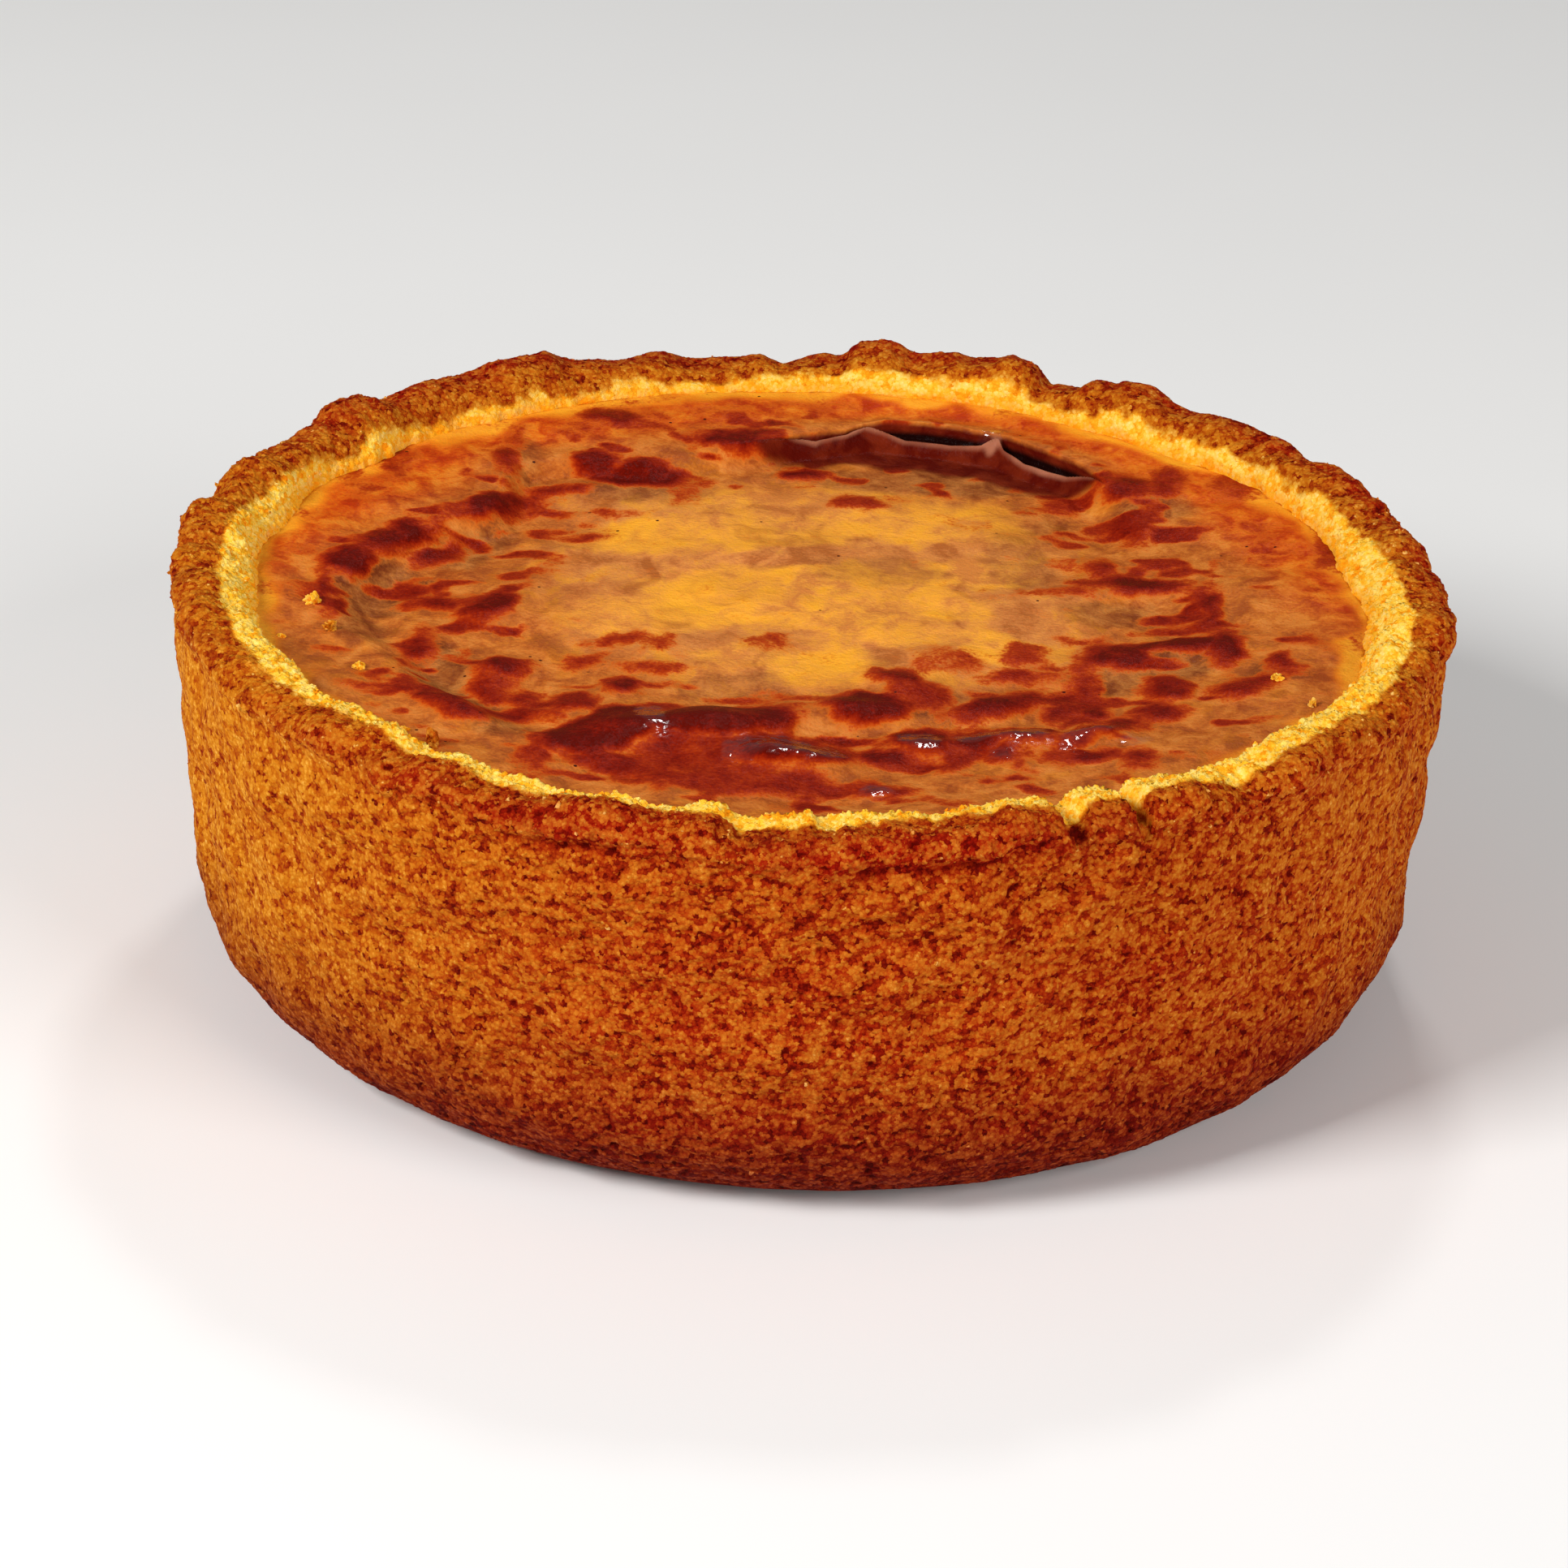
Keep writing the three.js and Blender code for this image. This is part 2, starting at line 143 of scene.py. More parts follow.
# Browned humps on the skin: place, length and width, turn in degrees, rise
HUMPS = [
    (-9, -24.5, 17, 6, 18, 1.3), (-1.5, -29.5, 10, 4.4, -8, 1), (8.5, -26, 7, 4, 0, 0.8),
    (15.5, -25, 7, 3.6, 6, 0.8), (21.5, -23.7, 6, 3.2, 25, 0.7), (4.5, -20.7, 6.5, 4, 5, 0.6),
    (14, -18.5, 9, 3.6, 35, 0.45), (7, -15.4, 5, 3.6, -25, 0.4), (-18.5, -22, 6, 4, 10, 0.4),
    (-26, -24, 7, 4, -38, 0.5), (-24, -15, 6, 4, 30, 0.35), (-25, -3.8, 7, 3.6, 8, 0.3),
    (-13, -10.3, 6, 4, 10, 0.3), (27.5, -7, 10, 4, 18, 0.5), (25, 5, 7.5, 3.4, -6, 0.4),
    (-15, 23.2, 9, 3.6, -2, 0.4), (-7, 30.4, 9, 3.6, 8, 0.4),
]

# Scorched patches on the skin: place, length and width, turn in degrees, strength
SCORCHES = [
    (-7.5, -23.6, 13, 6, 14, 1), (-14, -25, 8, 6.4, 30, 1), (-16.5, -28, 6.5, 4.4, 0, 1),
    (-3.2, -22.4, 4.6, 4, -40, 0.95), (-1, -28.2, 9, 5, 0, 1), (-9, -29.8, 9, 6.5, 30, 0.72),
    (-5, -33.6, 14, 4.6, 2, 0.68), (-14, -31.4, 6, 2, -10, 0.8), (4.2, -19.6, 6.4, 4.8, 5, 0.95),
    (6.9, -14.4, 3.6, 3, -20, 0.85), (8, -17, 5, 5.6, 30, 0.62), (14.3, -17.6, 8, 2.6, 36, 0.95),
    (9.2, -25, 5, 4.6, 0, 0.95), (12.4, -25, 4, 5, 0, 0.95), (16.2, -24, 5, 3.6, 0, 0.95),
    (5.4, -28.2, 4, 3.4, 20, 0.9), (10.8, -28, 2.6, 3.6, 0, 0.75), (14.4, -27.6, 2.6, 2.4, 0, 0.9),
    (20.4, -27.6, 5, 2, 12, 0.85), (24.5, -28.2, 2, 3, 0, 0.85), (5, -33.9, 4.4, 2, 0, 0.85),
    (21.5, -23.2, 6.5, 2.4, 40, 0.95), (23.3, -20.8, 3.2, 2.8, 0, 0.85), (26, -18.5, 4.2, 3, 50, 0.85),
    (19.3, -18, 2.6, 4.2, 0, 0.85), (21.4, -18.5, 2.8, 2.6, 0, 0.8), (20.9, -14, 1.8, 3.2, 0, 0.85),
    (16, -11.8, 4.4, 1.8, 20, 0.75), (16.3, -7.8, 3, 3, 0, 0.62), (10.3, -10, 5, 5, 0, 0.4),
    (28, -5.8, 8, 3.2, 12, 1), (24, -8, 4.6, 4, -30, 1), (21.8, -7.6, 2, 5, -25, 0.85),
    (32.3, -6, 2.2, 6.4, 10, 0.95), (31.1, 0.6, 1.7, 7, 0, 0.9), (27.2, -13.6, 3.4, 4, -20, 0.88),
    (33.4, -14, 4.6, 2.4, 20, 0.85), (36.7, -9.8, 1.8, 3, 0, 0.8), (25.4, 6.3, 6.6, 2.6, -6, 1),
    (22.9, 9, 1.8, 4, 0, 0.75), (19.5, 4.5, 6, 1.6, 8, 0.5), (26.2, 17.5, 2, 3, 0, 0.65),
    (-29.8, -1.8, 3.6, 2.2, 10, 0.9), (-25.2, -2.5, 3, 5, -20, 0.95), (-30, -11, 2.2, 5.2, 0, 0.9),
    (-23.7, -14, 3.4, 3, 0, 0.9), (-24, -17.4, 2.6, 4.4, 0, 0.7), (-14.3, -16.4, 2, 2.8, -20, 0.95),
    (-21.5, -19.2, 2.2, 2.4, 0, 0.75), (-18, -20.4, 3.4, 3.2, 0, 0.85), (-21.6, -22.3, 5, 2.4, 0, 0.75),
    (-26.4, -23.4, 6, 2.6, -40, 0.9), (-17.7, -12.2, 2.6, 2.4, 0, 0.6), (-14.5, -8, 4, 2, 15, 0.58),
    (-11.5, -8.5, 2.6, 2.6, 0, 0.5), (-12.3, -13, 3.4, 1.6, 0, 0.6), (-3, -8, 4, 2.6, 0, 0.4),
    (-37.8, -1.5, 1.4, 7, 4, 0.8), (-33.3, 9, 7, 3.4, 50, 1), (-29.6, 8.3, 1.6, 3.6, -30, 0.95),
    (-36.6, 3.4, 4.4, 4.6, 0, 1), (-26, 17.2, 8, 2.8, 42, 0.95), (-14.5, 25.6, 7.6, 3.4, 0, 0.95),
    (-18.4, 27, 3, 2.6, 0, 0.95), (-21, 22.2, 5, 1.6, 20, 0.85), (-25.3, 26, 1.2, 6, 0, 0.75),
    (-17, 36, 4.6, 3.6, 0, 0.85), (-7, 32.4, 7, 3.6, 0, 0.9), (-34.5, 24.5, 2.8, 5.6, 0, 0.55),
    (-38.3, 21.6, 2.2, 4.6, 0, 0.5), (-0.7, 28.2, 2.8, 2.4, 30, 0.9), (3.8, 21.6, 4, 2.4, 20, 0.72),
    (25.5, 25.8, 4, 4.6, 0, 0.8), (29, 26.4, 3, 4.6, 0, 0.75), (35, 26, 4, 5.6, 0, 0.5),
    (20.5, 24.3, 2, 4, 0, 0.6), (41.3, 12, 1.8, 4.6, 0, 0.6), (-18.5, 13, 2.6, 1.5, 0, 0.6),
]
# Patches of dull, grey-brown skin, given alike
DULL_SKIN = [
    (5, 7.4, 11, 6, 5, 0.5), (16.6, 11, 6, 12, 10, 0.55), (3, 27.4, 13, 5, -10, 0.6),
    (12, 28, 10, 7, 0, 0.95), (-15.5, 22.6, 11, 4.6, 5, 0.7), (-24.4, 26, 3, 9, 0, 0.6),
    (-27, 10, 4, 9, -20, 0.8), (-33.5, 0.5, 8, 9, 0, 0.95), (-35, -7, 5, 8, 12, 0.6),
    (-27.8, -15, 5.6, 10, 14, 0.9), (-25, -21.4, 6, 2.6, -42, 0.9), (-23, -26.4, 4, 4, 0, 0.7),
    (-6, -16.6, 9, 5.6, 0, 0.55), (27.5, -9.2, 10, 5, 20, 1), (24, -12.4, 6, 3.4, 0, 0.9),
    (8.6, -17.6, 6, 6, 20, 0.9), (28, 21.6, 6, 5, 0, 0.7), (24, 1, 7, 5, 0, 0.7),
    (36, -11.6, 4, 3, 0, 0.7), (19, 18, 4, 8, -20, 0.5),
]
# Patches of golden skin, and how far their middle lies behind the flan's
GOLDEN_SKIN = [
    (0, 1.5, 28, 12, 0, 0.8), (3, -2.5, 14, 6, -10, 1), (13, 8, 9, 5, 0, 0.9), (-8, 14, 26, 8, 10, 0.6),
    (9, -5, 16, 7, -20, 0.7), (-12, -3, 14, 7, 10, 0.6), (10, 17, 18, 7, -10, 0.7), (2, 21, 30, 8, 0, 0.6),
    (1, -12, 9, 8, 0, 0.8), (-4, -10.6, 10, 5, 20, 0.6), (-10, 23, 10, 8, 0, 0.3),
]
GOLDEN_SHIFT = 4
# Wet, shining spots on the scorched humps and on the fold
WET_SKIN = [
    (-11.4, -24.4, 2.4, 4.6, 0, 1), (-4.4, -28.4, 2.2, 3, 0, 1), (-0.8, -28, 6.4, 4, -15, 1),
    (8.7, -25.4, 3, 3, 0, 0.9), (12.6, -24.4, 3.4, 2.2, 0, 0.9), (16, -24.6, 4, 3.2, 0, 1),
    (20.8, -23.8, 5, 2.2, 45, 0.9), (14.4, -27.6, 2, 1.8, 0, 0.9), (5.2, -34.2, 2.2, 1.8, 0, 0.9),
    (24.5, -24.6, 1.8, 1.8, 0, 0.9), (14.8, 36, 1.6, 1.4, 0, 0.8),
]

# Loose crumbs on the custard: place, size across, how pale
LOOSE_CRUMBS = [
    (-38.6, -5.2, 1.5, 0.9), (-36.9, -9.8, 1.3, 0.3), (-34, -17.1, 1, 0.8), (-27.4, -31.2, 1.9, 0.05),
    (35.6, -12.8, 1.2, 0.8), (-29.6, -28.6, 0.8, 0.7), (-40.3, -12, 0.9, 0.9), (38, -18, 0.8, 0.7),
]

# The photograph's view, in degrees and millimetres, and the lens for a 36 mm picture
VIEW_ELEVATION = 25.26
VIEW_ROLL = 2.26
VIEW_DISTANCE = 420
VIEW_TARGET = (-1.54, 0, 13.68)
VIEW_LENS = 120.8

# Lights: name, place, what it faces, size and power in watts
LIGHTS = [
    ("key", (-460, -360, 440), (0, 0, 20), 240, 4.7),
    ("fill", (470, -430, 300), (0, 0, 20), 400, 3),
    ("back", (40, 360, 480), (0, 0, 30), 64, 0.55),
]
SKY_STRENGTH = 0.14
STAGE_REACH = 4000


# Small mathematics

HASH_FACTORS = np.array([374761393, 668265263, 2147483647], np.uint32)


def smooth(low, high, value):
    """0 below low, 1 above high and an S-curve between."""
    share = np.clip((value - low) / (high - low), 0, 1)
    return share * share * (3 - 2 * share)


def mix(a, b, share):
    return a + (b - a) * share


def peak(value, middle, width):
    """1 where value is middle, falling to 0 on both sides of it within about twice the width."""
    return np.exp(-(((value - middle) / width) ** 2))


def polar(radius, angle):
    """x and y at a distance and an angle from the flan's axis."""
    return radius * np.cos(angle), radius * np.sin(angle)


def points_at(x, y, z=0):
    """Points from their coordinates, at height 0 unless z is given."""
    return np.stack([x, y, z + 0 * x], axis=-1)


def degrees_off(degrees, middle):
    """How many degrees an angle is from another, the shorter way round."""
    return np.abs((degrees - middle + 180) % 360 - 180)


def waves(x, y, z, count, longest, shortest, seed):
    """A smooth random field of unit strength, made of plane waves in scattered directions."""
    total = 0
    for k in range(1, count + 1):
        rise = 1 - 2 * ((k * 0.6180339887 + seed) % 1)
        flat = math.sqrt(1 - rise * rise)
        heading = TAU * ((k * 0.7548776662 + seed * 3) % 1)
        length = longest * (shortest / longest) ** (k / count)
        along = x * flat * math.cos(heading) + y * flat * math.sin(heading) + z * rise
        total = total + np.cos(TAU * (along / length + (k * 0.5698402910 + seed * 7) % 1))
    return total / math.sqrt(count / 2)


def around(knots, angle):
    """The value at an angle of a list of (degrees, value), joined straight."""
    degrees, values = np.array(knots, float).T
    return np.interp(np.degrees(angle), degrees, values, period=360)


def fold_at(angle):
    """Radius, drop, width, crest and hollow of the fold at an angle."""
    knots = np.array(FOLD)
    radius, *rest = [around(knots[:, [0, column]], angle) for column in range(1, 6)]
    ground = points_at(*polar(radius, angle))
    return radius + (0.8 - 0.5 * rest[-1]) * rough(ground, 4.5, 83), *rest


def hashed(cell, seed):
    """A repeatable random number from 0 to 1 for each whole-numbered cell of space."""
    number = (cell.astype(np.uint32) * HASH_FACTORS).sum(axis=-1, dtype=np.uint32)
    number = number + np.uint32((seed * 974634777) % 2**32)
    for shift, factor in ((15, 2246822519), (13, 3266489917), (16, 668265263)):
        number = (number ^ (number >> np.uint32(shift))) * np.uint32(factor)
    return (number >> np.uint32(8)) / float(2**24)


def lumps(points, size, seed):
    """Smooth random lumps from -1 to 1, about size across."""
    place = points / size
    cell = np.floor(place).astype(np.int64)
    part = place - cell
    part = part * part * (3 - 2 * part)
    total = 0
    for corner in itertools.product((0, 1), repeat=3):
        weight = np.prod(np.where(corner, part, 1 - part), axis=-1)
        total = total + weight * hashed(cell + corner, seed)
    return total * 2 - 1


def rough(points, size, seed, layers=3):
    """Lumps with finer lumps on them, from -1 to 1."""
    total = 0
    for k in range(layers):
        total = total + 0.5**k * lumps(points, size * 0.5**k, seed + k)
    return total / (2 - 0.5 ** (layers - 1))


def grains(points, size, seed):
    """Packed grains: how far each point is inside its grain, from 0 at its edge, and the grain's number."""
    place = points / size
    cell = np.floor(place).astype(np.int64)
    nearest = np.full(place.shape[:-1], 9.0)
    second = nearest.copy()
    number = np.zeros_like(nearest)
    for step in itertools.product((-1, 0, 1), repeat=3):
        other = cell + step
        middle = other + np.stack([hashed(other, seed + k) for k in range(3)], axis=-1)
        away = np.linalg.norm(place - middle, axis=-1)
        closer = away < nearest
        second = np.where(closer, nearest, np.minimum(second, away))
        number = np.where(closer, hashed(other, seed + 5), number)
        nearest = np.minimum(nearest, away)
    return second - nearest, number


def bumps(entries, angle):
    """Sum of rises given as (degrees, half width in degrees, rise)."""
    total = 0
    for at, half, rise in entries:
        total = total + rise * (1 - smooth(half * 0.55, half * 1.25, degrees_off(np.degrees(angle), at)))
    return total


def patches(entries, x, y):
    """The strongest of oval patches at each point, with wavy and ragged edges."""
    ground = points_at(x, y)
    wavy_x = x + 0.9 * rough(ground, 3.4, 61)
    wavy_y = y + 0.9 * rough(ground, 3.4, 71)
    ragged = 0.7 * rough(ground, 1.5, 63)
    strongest = 0 * x
    for at_x, at_y, length, width, turn, strength in entries:
        along, across = turned(wavy_x - at_x, wavy_y - at_y, turn)
        far = np.hypot(along / (length / 2), across / (width / 2))
        depth = (1 - far) * min(length, width) / 2 + ragged
        strongest = np.maximum(strongest, strength * smooth(-1.3, 1.1, depth + 0.2))
    return strongest


def turned(x, y, degrees):
    """x and y measured along and across a direction."""
    turn = math.radians(degrees)
    return x * math.cos(turn) + y * math.sin(turn), y * math.cos(turn) - x * math.sin(turn)


# The shape of the case

def wall_radius(z):
    return mix(FOOT_RADIUS, RIM_RADIUS, z / HEIGHT)


def inner_radius(z):
    return wall_radius(z) - WALL_THICKNESS


def crag_height(angle):
    """Height of the rim's lumps and notches above its mean level."""
    return 0.16 * waves(*polar(RIM_RADIUS, angle), 0, 14, 22, 5, 0.37) + bumps(CRAGS + NOTCHES, angle)


def edge_wander(angle):
    """How far the inner edge of the case wanders from a true circle."""
    return 0.35 * waves(*polar(RIM_RADIUS, angle), 9, 10, 40, 11, 0.71)


def case_section():
    """The case's outline from its foot over the rim and down inside: rows of (radius, height, out, up,
    crag, pale, wander), the last five being how far the row follows the lumps outwards and upwards,
    the rim's crags, its pale edge and that edge's wandering."""
    foot_flat = FOOT_RADIUS - CORNER_RADIUS
    rows = [(foot_flat - 0.5, 0, 0, 0, 0, 0, 0)]
    for turn in np.linspace(0, math.pi / 2, 14):
        z = CORNER_RADIUS * (1 - math.cos(turn))
        rows.append((mix(foot_flat, wall_radius(z), math.sin(turn)), z, math.sin(turn) ** 2, 0, 0, 0, 0))
    for share in np.linspace(0, 1, 8)[1:]:
        z = mix(CORNER_RADIUS, LIP_LEVEL, share)
        rows.append((wall_radius(z) - LIP_GROOVE * (share == 1), z, 1, 0, 0.5 * share**6, 0, 0))
    pale_edge = inner_radius(HEIGHT)
    rows += [
        (wall_radius(LIP_LEVEL) + LIP_BULGE, mix(LIP_LEVEL, HEIGHT, 0.4), 1, 0, 0.8, 0, 0),
        (RIM_RADIUS - 0.3, HEIGHT - 0.7, 0.8, 0.5, 1, 0, 0),
        (RIM_RADIUS - 1.3, HEIGHT, 0.3, 1, 1, 0, 0),
        (RIM_RADIUS - BROWN_BAND * 0.65, HEIGHT + 0.05, 0, 1, 1, 0, 0),
        (RIM_RADIUS - BROWN_BAND, HEIGHT - 0.2, 0, 1, 0.8, 0, 0),
        (mix(pale_edge, RIM_RADIUS - BROWN_BAND, 0.5), HEIGHT - 0.9, 0, 0.8, 0.65, 1, 0.5),
        (pale_edge, HEIGHT - PALE_BAND_DROP, 0, 0.1, 0, 0, 1),
        (inner_radius(EDGE_LEVEL - 1.2), EDGE_LEVEL - 1.2, 0, 0, 0, 0, 1),
    ]
    return np.array(rows)


def even_rows(section):
    """The section with its rows at even steps, finer on the rim, and its corners eased, and how many
    of the rows lie below the rim."""
    length = np.concatenate([[0], np.cumsum(np.hypot(*np.diff(section[:, :2], axis=0).T))])
    groove = length[np.argmax(section[:, 1] >= LIP_LEVEL - 0.01)]
    fine = np.arange(0, length[-1], 0.05)
    dense = np.stack([np.interp(fine, length, column) for column in section.T], axis=1)
    reach = 9
    eased = np.mean([np.roll(dense, k, axis=0) for k in range(-reach, reach + 1)], axis=0)
    eased[:reach] = dense[:reach]
    eased[-reach:] = dense[-reach:]
    wall_rows = np.linspace(0, groove, round(groove / WALL_STEP))
    rim_rows = np.linspace(groove, fine[-1], round((fine[-1] - groove) / RIM_STEP))[1:]
    at = np.concatenate([wall_rows, rim_rows])
    return np.stack([np.interp(at, fine, column) for column in eased.T], axis=1), len(wall_rows)


def case_grid():
    """Points of the case's showing surface, rows by columns, the looks of each point, and the lip's row."""
    section, groove_row = even_rows(case_section())
    angle = CASE_ANGLES[None]
    radius, height, out, up, crag, pale, wander = [column[:, None] for column in section.T]
    lump = LUMP_RELIEF * waves(*polar(radius, angle), height, 26, 9, 4, 0.13)
    r = radius + out * lump + wander * edge_wander(angle)
    z = height + up * lump + crag * crag_height(angle) + pale * around(PALE_RISES, angle)
    points = points_at(*polar(r, angle), z)
    normals = grid_normals(points)

    degrees = np.degrees(angle)
    on_rim = smooth(LIP_LEVEL - 1, HEIGHT - 0.8, height) * (radius > inner_radius(HEIGHT) - 1)
    on_rim = on_rim + 0 * angle
    depth = pale_depth(points, radius, angle)
    raw = smooth(-0.3, 0.3, depth) * (height > HEIGHT - 4)
    golden = smooth(-3.4, -0.3, depth - 0.6 * rough(points, 1.6, 33)) * around(GOLDEN_SHARES, angle) * on_rim
    loose = np.maximum(looseness(degrees, height), 0.6 * on_rim) * (1 - raw)
    coarse = 1 - 0.6 * smooth(100, 40, np.abs(degrees - 90))
    push, level = crumb_relief(points, on_rim, raw, loose, coarse)
    under = lip_groove(points, height)
    # The groove under the lip is pushed in, and its level lowered, which darkens it: painted shadow under the
    # overhang
    push = push - GROOVE_DEPTH_AND_SHADOW * under
    level = level - GROOVE_DEPTH_AND_SHADOW * under
    inside = radius - inner_radius(EDGE_LEVEL - 1)
    moving = smooth(0, 1.5, height) * smooth(0, 0.6, inside)
    seam = raw * peak(height, EDGE_LEVEL, 1.2) * smooth(1.2, 0.4, radius - inner_radius(EDGE_LEVEL))
    crumbly = SEAM_RELIEF * np.clip(rough(points, 1.3, 59) + 0.2, 0, 1)
    points = points + normals * (push * moving + seam * crumbly)[..., None]
    looks = {
        "level": np.clip(level, 0, 1),
        "raw": raw,
        "loose": loose,
        # Dark red-brown: scorched patches on the rim, and near the foot partly painted shade
        "burnt": burnt_and_foot_shade(points, on_rim, raw) * (1 - golden),
        "low": smooth(EDGE_LEVEL + 1.3, EDGE_LEVEL + 0.1, points[..., 2] + 0.5 * rough(points, 1.4, 58, 2)),
        "baked": baked_share(points, on_rim, degrees) * (1 - 0.8 * golden),
    }
    return points, looks, groove_row


def grid_normals(points):
    """Outward unit normals of a grid of rows by columns whose columns close on themselves."""
    across = np.roll(points, -1, axis=1) - np.roll(points, 1, axis=1)
    along = np.gradient(points, axis=0)
    normal = np.cross(across, along)
    return normal / np.maximum(np.linalg.norm(normal, axis=-1, keepdims=True), 1e-9)


def looseness(degrees, height):
    """How open the wall's crumb is, from 0 to 1: close at the left, open at the front and the right."""
    left = 1 - smooth(8, 62, degrees_off(degrees, 188))
    front = 1 - smooth(25, 60, degrees_off(degrees, 272))
    high = smooth(14, 27, height)
    return np.clip(0.62 - 0.5 * left + front * (0.12 + 0.16 * high), 0, 1)


def lip_groove(points, height):
    """The broken groove where the rim's lip overhangs the wall, from 0 to 1; it is pushed in and darkened
    with painted shadow.
    """
    angle = np.arctan2(points[..., 1], points[..., 0])
    ground = points * (1, 1, 0)
    broken = lumps(ground, 5, 37) - 0.5 + bumps([(249, 6, 0.9), (285, 6, 1)], angle)
    level = LIP_LEVEL + 0.5 * lumps(ground, 3, 38)
    return smooth(0, 0.6, broken) * peak(height, level, 0.4)


def pale_depth(points, radius, angle):
    """How far each point lies within the pale, raw-looking inner edge of the rim, in millimetres."""
    ragged = 0.45 * rough(points, 2.6, 31) + 0.3 * lumps(points, 0.9, 32)
    return RIM_RADIUS - BROWN_BAND + 0.1 + around(PALE_WIDTHS, angle) - radius + ragged


def crumb_relief(points, on_rim, raw, loose, coarse):
    """How far the crumbs push the surface out, and their level: 0 in the gaps and 1 on the flakes."""
    bend = np.stack([lumps(points, 0.9, seed) for seed in (91, 92, 93)], axis=-1)
    flat = points * (1, 1, 1.35) + 0.2 * bend
    body = rough(flat, 0.75, 11, 2) + 0.3 * rough(flat, 2.4, 15, 2)
    shore = -0.42 + 0.34 * loose
    gap = 1 - smooth(shore - 0.1, shore + 0.08, body)
    pit = smooth(0.64, 0.74, lumps(flat, 0.7, 44)) * smooth(0.15, 0.6, loose)
    crack_line = np.abs(rough(points * (1, 1, 3.2), 3.4, 47, 2) + 0.15 * body)
    crack = (1 - smooth(0, 0.045, crack_line)) * smooth(0.46, 0.62, lumps(points, 2.6, 48))
    crack = crack * smooth(0.3, 0.7, loose)
    grain_edge, grain = grains(points, 0.55, 25)
    dome = smooth(0, 0.5, grain_edge) - 0.5
    on_rim_relief = RIM_RELIEF * rough(points, 2.2, 53) + RIM_GRAIN_RELIEF * dome
    raw_relief = RAW_RELIEF * rough(points, 1.7, 54) + RAW_GRAIN_RELIEF * (dome + 0.6 * (grain - 0.5))
    push = (
        SWELL_RELIEF * rough(points, 5, 51, 2) * (0.5 + 0.8 * on_rim)
        + (0.3 + 0.7 * loose) * (FLAKE_RELIEF * body - GAP_DEPTH * gap - PIT_DEPTH * pit)
        - CRACK_DEPTH * crack
        + coarse * (GRAIN_RELIEF * dome + on_rim * on_rim_relief + raw * raw_relief)
    )
    # The level sets the colour: lighter on raised flakes and darker in gaps, pits and cracks, partly the
    # crumb's own tones and partly painted light and painted shade on the relief
    level = 0.59 - 0.13 * loose + 0.07 * body - 0.06 * gap - 0.25 * pit - 0.4 * crack
    return push, level


def baked_share(points, on_rim, degrees):
    """How brown the crust is: golden at the left, deeper at the front, the rim and the foot, where the
    darkening is partly deeper baking and partly painted shade.
    """
    left = 1 - smooth(12, 75, degrees_off(degrees, 190))
    right = 1 - smooth(15, 60, degrees_off(degrees, 0))
    top = smooth(20, 28, points[..., 2]) * (1 - on_rim)
    foot = 1 - smooth(1, 14, points[..., 2])
    share = 0.85 - 0.85 * left - 0.2 * right - 0.1 * top + 0.4 * foot + 0.3 * on_rim
    return np.clip(share + (0.1 + 0.35 * on_rim) * rough(points, 4, 57), 0, 1)


def burnt_and_foot_shade(points, on_rim, raw):
    """How far the crust is dark red-brown: near its foot, partly deeper baking and partly painted shade, and
    in scorched patches on the rim.
    """
    foot = 1 - smooth(0, 17, points[..., 2] + 1.5 * rough(points, 5, 67, 2))
    spots = smooth(0.05, 0.6, rough(points, 3.2, 66)) * on_rim * (1 - raw)
    return np.clip(foot + 0.35 * spots, 0, 1)


# The shape of the custard's skin

def skin_height(x, y):
    """Height of the skin before its wrinkles, how far each point is outside the fold from 0 to 1, how
    far inside it in millimetres, and the share of the hollow there."""
    r = np.hypot(x, y)
    angle = np.arctan2(y, x)
    fold, drop, width, crest, hollow = fold_at(angle)
    foot = fold - width
    edge = inner_radius(EDGE_LEVEL) + edge_wander(angle)
    ledge = EDGE_LEVEL - LEDGE_DROP
    outside = np.clip((r - fold) / (edge - fold), 0, 1)
    ledge_z = EDGE_LEVEL - LEDGE_DROP * (1 - outside) ** 1.6 + crest * peak(outside, 0, 0.3)
    step = smooth(0, 1, (r - foot) / width)
    step_z = mix(ledge - drop, ledge + crest, step)
    place = np.clip(r / foot, 0, 1)
    middle_z = ledge - mix(MIDDLE_DROP, drop, place**6) + MIDDLE_RISE * (1 - place**2)
    z = np.where(r > fold, ledge_z, np.where(r > foot, step_z, middle_z))
    inside = fold - r
    gap = np.maximum(FOLD_LIP_PLACE * hollow, 0.1)
    lip = peak(inside, gap, 0.35)
    groove = smooth(0, 0.3, inside) * (1 - smooth(0.4, 1, inside / gap))
    z = z + smooth(0, 0.5, hollow) * (FOLD_LIP_RISE * lip - FOLD_GROOVE * groove)
    return z, outside, inside, hollow


def skin_relief(x, y):
    """Height added to the skin by its humps, waves and wrinkles."""
    ground = points_at(x, y)
    height = WAVE_RELIEF * waves(x, y, 0, 18, 30, 10, 0.53)
    for at_x, at_y, length, width, turn, rise in HUMPS:
        along, across = turned(x - at_x, y - at_y, turn)
        height = height + rise * peak(along, 0, length / 2) * peak(across, 0, width / 2)
    return height + BUCKLE_RELIEF * rough(ground, 5, 81, 2) + WRINKLE_RELIEF * rough(ground, 1.6, 82, 2)


def small_scorches(x, y):
    """Many small browned spots in a ring around the middle, fewer of them close to the case."""
    ground = points_at(x, y * 1.5)
    bend = points_at(rough(ground, 2.5, 86, 2), rough(ground, 2.5, 88, 2))
    ring = smooth(16, 26, np.hypot(x, y - GOLDEN_SHIFT)) * (1 - 0.7 * smooth(37, 42, np.hypot(x, y)))
    return ring * smooth(0, 0.6, rough(ground + bend, 3.4, 85, 2) + 0.2 * lumps(ground, 1.3, 89))


